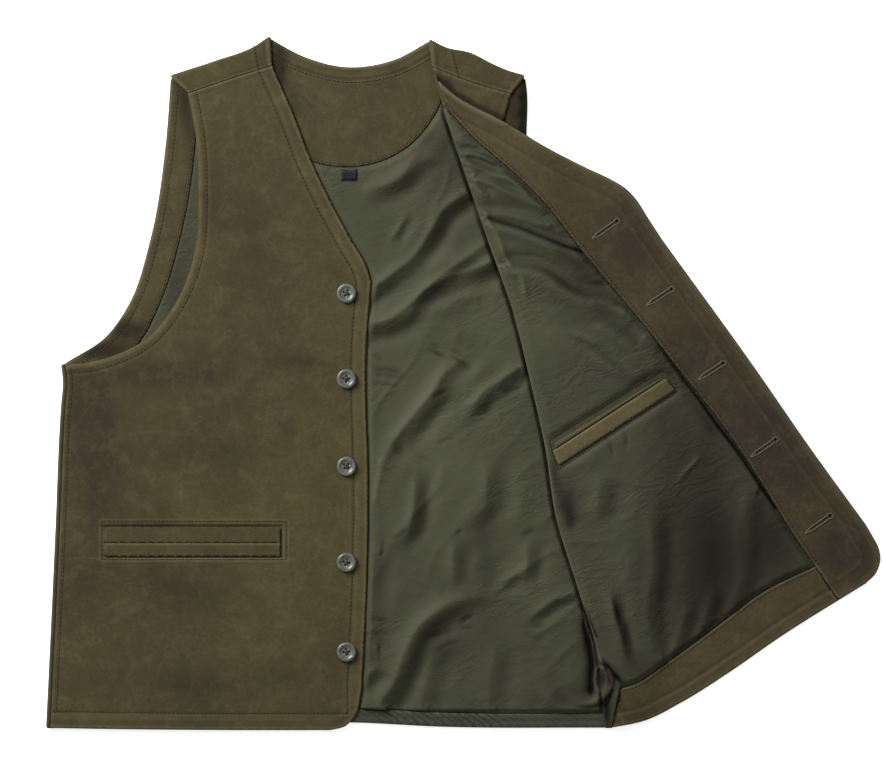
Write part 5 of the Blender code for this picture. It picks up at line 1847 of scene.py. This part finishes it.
def stitches(centres, run, length, radius):
    """Points and triangles of spindle-shaped stitches at the centres, each along its unit run in plan."""
    angles = np.arange(STITCH_SIDES) * 2 * math.pi / STITCH_SIDES
    points = []
    for share, width, sink in STITCH_SECTIONS:
        for angle in angles:
            across = radius * width * math.cos(angle)
            rise = radius * (width * math.sin(angle) + sink)
            xy = centres[:, :2] + run * length * share + np.column_stack((-run[:, 1], run[:, 0])) * across
            points.append(np.column_stack((xy, centres[:, 2] + rise)))
    points = np.stack(points, axis=1)
    faces = []
    rows = len(STITCH_SECTIONS)
    for row in range(rows - 1):
        for side in range(STITCH_SIDES):
            a, b = row * STITCH_SIDES + side, row * STITCH_SIDES + (side + 1) % STITCH_SIDES
            faces += [(a, b, b + STITCH_SIDES), (a, b + STITCH_SIDES, a + STITCH_SIDES)]
    for side in range(1, STITCH_SIDES - 1):
        last = (rows - 1) * STITCH_SIDES
        faces += [(0, side + 1, side), (last, last + side, last + side + 1)]
    count = points.shape[1]
    all_faces = (np.array(faces)[None] + (np.arange(len(centres)) * count)[:, None, None]).reshape(-1, 3)
    return points.reshape(-1, 3), all_faces


def sewn(name, lines, shape, thick, finish, pitch=STITCH_PITCH, length=STITCH_LENGTH):
    """Rows of stitches along the lines, on the cloth of the shape, with a dark bead of painted shade in the
    needle hole between two.
    """
    centres, runs, holes = [], [], []
    for line in lines:
        spots = resample(line, pitch)
        run = spots[1:] - spots[:-1]
        run /= np.hypot(*run.T)[:, None]
        centres.append((spots[1:] + spots[:-1]) / 2)
        runs.append(run)
        holes.append(spots)
    centres, runs, holes = (np.vstack(rows) for rows in (centres, runs, holes))
    z = shape(centres)[0] + thick / 2 + THREAD_RISE
    points, faces = stitches(np.column_stack((centres, z)), runs, length, THREAD_RADIUS)
    made = place(name, points, faces, finish)
    z = shape(holes)[0] + thick / 2 - HOLE_DEPTH
    along = np.tile((1.0, 0.0), (len(holes), 1))
    points, faces = stitches(np.column_stack((holes, z)), along, 2.2 * HOLE_RADIUS, HOLE_RADIUS)
    made = place(name + "_hole_shade", points, faces, HOLE_SHADE)


def make_stitching():
    """All the visible rows of stitches."""
    lines = (FRONT_STITCHES, HEM_STITCHES, ARM_STITCHES, SIDE_STITCHES, POCKET_FRAME)
    sewn("stitches_front", [seam.points for seam in lines], front_shape, LEATHER, LEATHER_THREAD)
    lines = [seam.points for seam in SHOULDER_STITCHES]
    sewn("stitches_shoulder", lines, shoulder_shape, LEATHER, LEATHER_THREAD)
    neck_band = NECK_BAND.moved(3.0, 2.0)
    sewn("stitches_neck", [NECK_STITCHES.points, neck_band], neck_shape, LEATHER, LEATHER_THREAD)
    lines = (ARM_FACING_STITCHES, ARM_EDGE_STITCHES)
    sewn("stitches_armhole", [seam.points for seam in lines], arm_shape, LEATHER, LEATHER_THREAD)
    sewn("stitches_facing", [FACING_STITCHES.points], facing_shape, LEATHER, FACING_THREAD)
    sewn("stitches_hem_facing", [HEM_FACING_STITCHES.points], hem_facing_shape, LEATHER, FACING_THREAD)
    around = inset(patch(INNER_POCKET, EDGE_STEP), -1.6)
    small = (POCKET_PITCH, POCKET_STITCH)
    sewn("stitches_inner_pocket", [around], flap_lining_shape, SATIN, FACING_THREAD, *small)


def inset(ring, by):
    """The ring with its first point repeated, drawn in by a distance."""
    closed_ring = shut(ring)
    normal = sideways(closed_ring)
    centre = ring.mean(axis=0)
    inward = np.sign(((centre - closed_ring) * normal).sum())
    return closed_ring + normal * inward * by


def make_buttonholes():
    """Close stitches round each slit, a tail that closes its inner end and a cord round both."""
    centres, runs, lengths, cords = [], [], [], []
    for x0, y0, x1, y1 in BUTTONHOLES:
        ring = keyhole(x0, y0, x1, y1, LIP, EYE)
        outline = resample(shut(ring), BAR_PITCH)
        out = -sideways(outline)
        middle = np.array(((x0 + x1) / 2, (y0 + y1) / 2))
        if ((outline - middle) * out).sum() < 0:
            out = -out
        centres.append(outline + out * BAR_OUT)
        runs.append(out)
        lengths.append(np.full(len(outline), BAR_LENGTH))
        axis = np.array((x1 - x0, y1 - y0)) / math.hypot(x1 - x0, y1 - y0)
        tail = np.array((x0, y0)) - axis * np.arange(0.9, 6.5, 0.6)[:, None]
        centres.append(tail)
        runs.append(np.tile((-axis[1], axis[0]), (len(tail), 1)))
        lengths.append(np.linspace(2.6, 1.2, len(tail)))
        tip = np.array((x0, y0)) - axis * TAIL_LENGTH
        loop = resample(np.vstack((tip, keyhole(x0, y0, x1, y1, CORD_HALF, CORD_EYE), tip)), 1.1)
        z = facing_shape(loop)[0] + LEATHER / 2 + CORD_RISE
        cords.append(np.column_stack((loop, z)))
    centres, runs = np.vstack(centres), np.vstack(runs)
    lengths = np.concatenate(lengths)[:, None]
    z = facing_shape(centres)[0] + LEATHER / 2 + BAR_RISE
    points, faces = stitches(np.column_stack((centres, z)), runs, lengths, BAR_RADIUS)
    place("buttonhole_stitches", points, faces, BAR_THREAD)
    points, faces = tubes(cords, CORD_RADIUS)
    place("buttonhole_cords", points, faces, HOLE_THREAD)


# The turned button: radius, height of its face and height of its foot above the seat
BUTTON_PROFILE = (
    (0.0, 2.35, 0.0), (4.6, 2.35, 0.0), (5.5, 2.5, 0.0), (6.1, 3.1, 0.0), (6.8, 3.5, 0.0),
    (8.0, 3.55, 0.1), (8.8, 3.3, 0.35), (9.3, 2.7, 0.9), (9.5, 1.9, 1.5),
)


def make_button(number, y, turn):
    """A turned four-hole button with its crossed thread."""
    radius, face, foot = np.array(BUTTON_PROFILE).T
    rings = [ring_of(r, BUTTON_SIDES) for r in radius[1:-1]]
    spots = [(dx * HOLE_OFFSET, dy * HOLE_OFFSET) for dx in (-1, 1) for dy in (-1, 1)]
    holes = [ring_of(BUTTON_HOLE, HOLE_SIDES, x, y0) for x, y0 in spots]
    plan = fill(ring_of(BUTTON_RADIUS, BUTTON_SIDES), ((BUTTON_MESH, everywhere),), rings=(*rings, *holes))
    plan = plan.part(~in_any(plan.centres(), holes), 0.0)
    away = np.hypot(*plan.xy.T)
    at_hole = np.min([distance(plan.xy, shut(hole)) for hole in holes], axis=0)
    top = np.interp(away, radius, face) - 0.25 * bell(at_hole / 0.45)
    low = np.interp(away, radius, foot)
    c, s = math.cos(turn), math.sin(turn)
    turned = np.array(((c, s), (-s, c)))
    xy = plan.xy @ turned + (BUTTON_X, y)
    count = len(xy)
    rim = boundary(plan.faces)
    walls = np.vstack((
        np.column_stack((rim[:, 1], rim[:, 0], rim[:, 0] + count)),
        np.column_stack((rim[:, 1], rim[:, 0] + count, rim[:, 1] + count)),
    ))
    points = np.vstack((np.column_stack((xy, BUTTON_SEAT + top)), np.column_stack((xy, BUTTON_SEAT + low))))
    faces = np.vstack((plan.faces, plan.faces[:, ::-1] + count, walls))
    made = place(f"turned_button_{number}", points, faces, HORN)
    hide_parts(f"button_{number}")
    strands = []
    for a, b in (((-1, -1), (1, 1)), ((-1, 1), (1, -1))):
        for shift in (-STRAND_SHIFT, STRAND_SHIFT):
            start, end = (np.array(p) * HOLE_OFFSET for p in (a, b))
            lean = np.array((-(end - start)[1], (end - start)[0])) / np.hypot(*(end - start)) * shift
            t = np.linspace(0.0, 1.0, 13)[:, None]
            flat = (start + (end - start) * t + lean) @ turned + (BUTTON_X, y)
            rise = 1.2 + 1.75 * np.sin(math.pi * t[:, 0]) ** 0.35 + (0.25 if a == (-1, 1) else 0.0)
            strands.append(np.column_stack((flat, BUTTON_SEAT + rise)))
    points, faces = tubes(strands, STRAND_RADIUS)
    place(f"button_thread_{number}", points, faces, LEATHER_THREAD)


def ring_of(radius, count, x=0.0, y=0.0):
    angles = np.arange(count) * 2 * math.pi / count
    return np.column_stack((x + radius * np.cos(angles), y + radius * np.sin(angles)))


def tubes(paths, radius, sides=6):
    """Points and triangles of closed tubes along the paths."""
    points, faces, first = [], [], 0
    angles = np.arange(sides) * 2 * math.pi / sides
    for path in paths:
        run = np.gradient(path, axis=0)
        run /= np.linalg.norm(run, axis=1)[:, None]
        side = np.cross(run, (0.0, 0.0, 1.0))
        side /= np.maximum(np.linalg.norm(side, axis=1), 1e-6)[:, None]
        up = np.cross(side, run)
        for k in range(len(path)):
            ring = np.outer(np.cos(angles), side[k]) + np.outer(np.sin(angles), up[k])
            points.append(path[k] + radius * ring)
        for k in range(len(path) - 1):
            for j in range(sides):
                a, b = first + k * sides + j, first + k * sides + (j + 1) % sides
                faces += [(a, b + sides, b), (a, a + sides, b + sides)]
        last = first + (len(path) - 1) * sides
        for j in range(1, sides - 1):
            faces += [(first, first + j, first + j + 1), (last, last + j + 1, last + j)]
        first += len(path) * sides
    return np.vstack(points), np.array(faces)


def make_stage():
    """The pale floor, the soft studio light from the upper left, and the camera straight above."""
    mesh = bpy.data.meshes.new("floor")
    corners = [(x * FLOOR_HALF, y * FLOOR_HALF, FLOOR_Z) for x, y in ((-1, -1), (1, -1), (1, 1), (-1, 1))]
    mesh.from_pydata(corners, [], [(0, 1, 2, 3)])
    floor = bpy.data.objects.new("floor", mesh)
    paper = material("floor_paper", (FLOOR_WHITE,) * 3, 0.9)
    shader = paper.node_tree.nodes["Principled BSDF"]
    shader.inputs["Emission Color"].default_value = (1.0, 1.0, 1.0, 1.0)
    shader.inputs["Emission Strength"].default_value = FLOOR_GLOW
    mesh.materials.append(paper)
    bpy.context.scene.collection.objects.link(floor)
    world = bpy.data.worlds.new("studio")
    world.use_nodes = True
    world.node_tree.nodes["Background"].inputs["Color"].default_value = (1.0, 1.0, 1.0, 1.0)
    world.node_tree.nodes["Background"].inputs["Strength"].default_value = SKY_STRENGTH
    bpy.context.scene.world = world
    for name, place_at, size, power in LAMPS:
        lamp = bpy.data.lights.new(name, "AREA")
        lamp.size = size
        lamp.energy = power
        held = bpy.data.objects.new(name, lamp)
        held.location = place_at
        towards = Vector((VIEW_CENTRE[0], VIEW_CENTRE[1], 0.0)) - held.location
        held.rotation_euler = towards.to_track_quat("-Z", "Y").to_euler()
        bpy.context.scene.collection.objects.link(held)
    lens = bpy.data.cameras.new("camera")
    lens.lens = LENS
    lens.sensor_width = SENSOR
    lens.clip_end = FAR_CLIP
    camera = bpy.data.objects.new("camera", lens)
    above = PHOTO_WIDTH * PIXEL_MM * MM * LENS / SENSOR + REFERENCE_HEIGHT
    camera.location = (*VIEW_CENTRE, above)
    bpy.context.scene.collection.objects.link(camera)
    bpy.context.scene.camera = camera
    bpy.context.scene.view_settings.view_transform = "Standard"


# What each piece of cloth lies on, and the cut, in metres, of those that are folded
LIES_ON = {
    "back_panel": (), "back_lining": ("back_panel",), "back_neck_facing": ("back_panel",),
    "back_armhole_facing_left": ("back_panel",), "back_armhole_facing_right": ("back_panel",),
    "back_hem_band": ("back_panel",), "size_tab": ("back_lining",), "front_right": ("back_lining",),
    "pocket_welt_upper": ("front_right",), "pocket_welt_lower": ("front_right",),
    "front_left": ("back_panel", "back_lining"), "front_left_lining": ("front_left",),
    "front_left_facing": ("front_left",), "front_left_hem_facing": ("front_left",),
    "inner_pocket_welt": ("front_left_lining",),
}
FOLDED_CUTS = {"back_panel": (0.566, 0.712), "front_left": (0.33, 0.66), "front_left_lining": (0.262, 0.64)}


def cut_size(points):
    """Width and length in metres of the smallest upright or turned rectangle round the points in plan."""
    best = (np.inf, 0.0, 0.0)
    for turn in np.radians(np.arange(0, 90, 2)):
        along = points @ (math.cos(turn), math.sin(turn))
        across = points @ (-math.sin(turn), math.cos(turn))
        sides = sorted((np.ptp(along), np.ptp(across)))
        best = min(best, (sides[0] * sides[1], *sides))
    return float(best[1]), float(best[2])


def declare_cloth():
    """Works out the size that each piece of cloth was cut to and its area, and does nothing more with them."""
    for name, below in LIES_ON.items():
        made, area = CLOTH[name]
        count = len(made.data.vertices)
        flat = np.zeros(3 * count)
        made.data.vertices.foreach_get("co", flat)
        width, length = FOLDED_CUTS.get(name) or cut_size(flat.reshape(-1, 3)[:, :2])
        area = min(area, width * length)


make_back()
make_back_inside()
make_front()
make_flap()
make_stitching()
make_buttonholes()
for number, (y, turn) in enumerate(zip(BUTTON_Y, BUTTON_TURNS), start=1):
    make_button(number, y, turn)
declare_cloth()
make_stage()
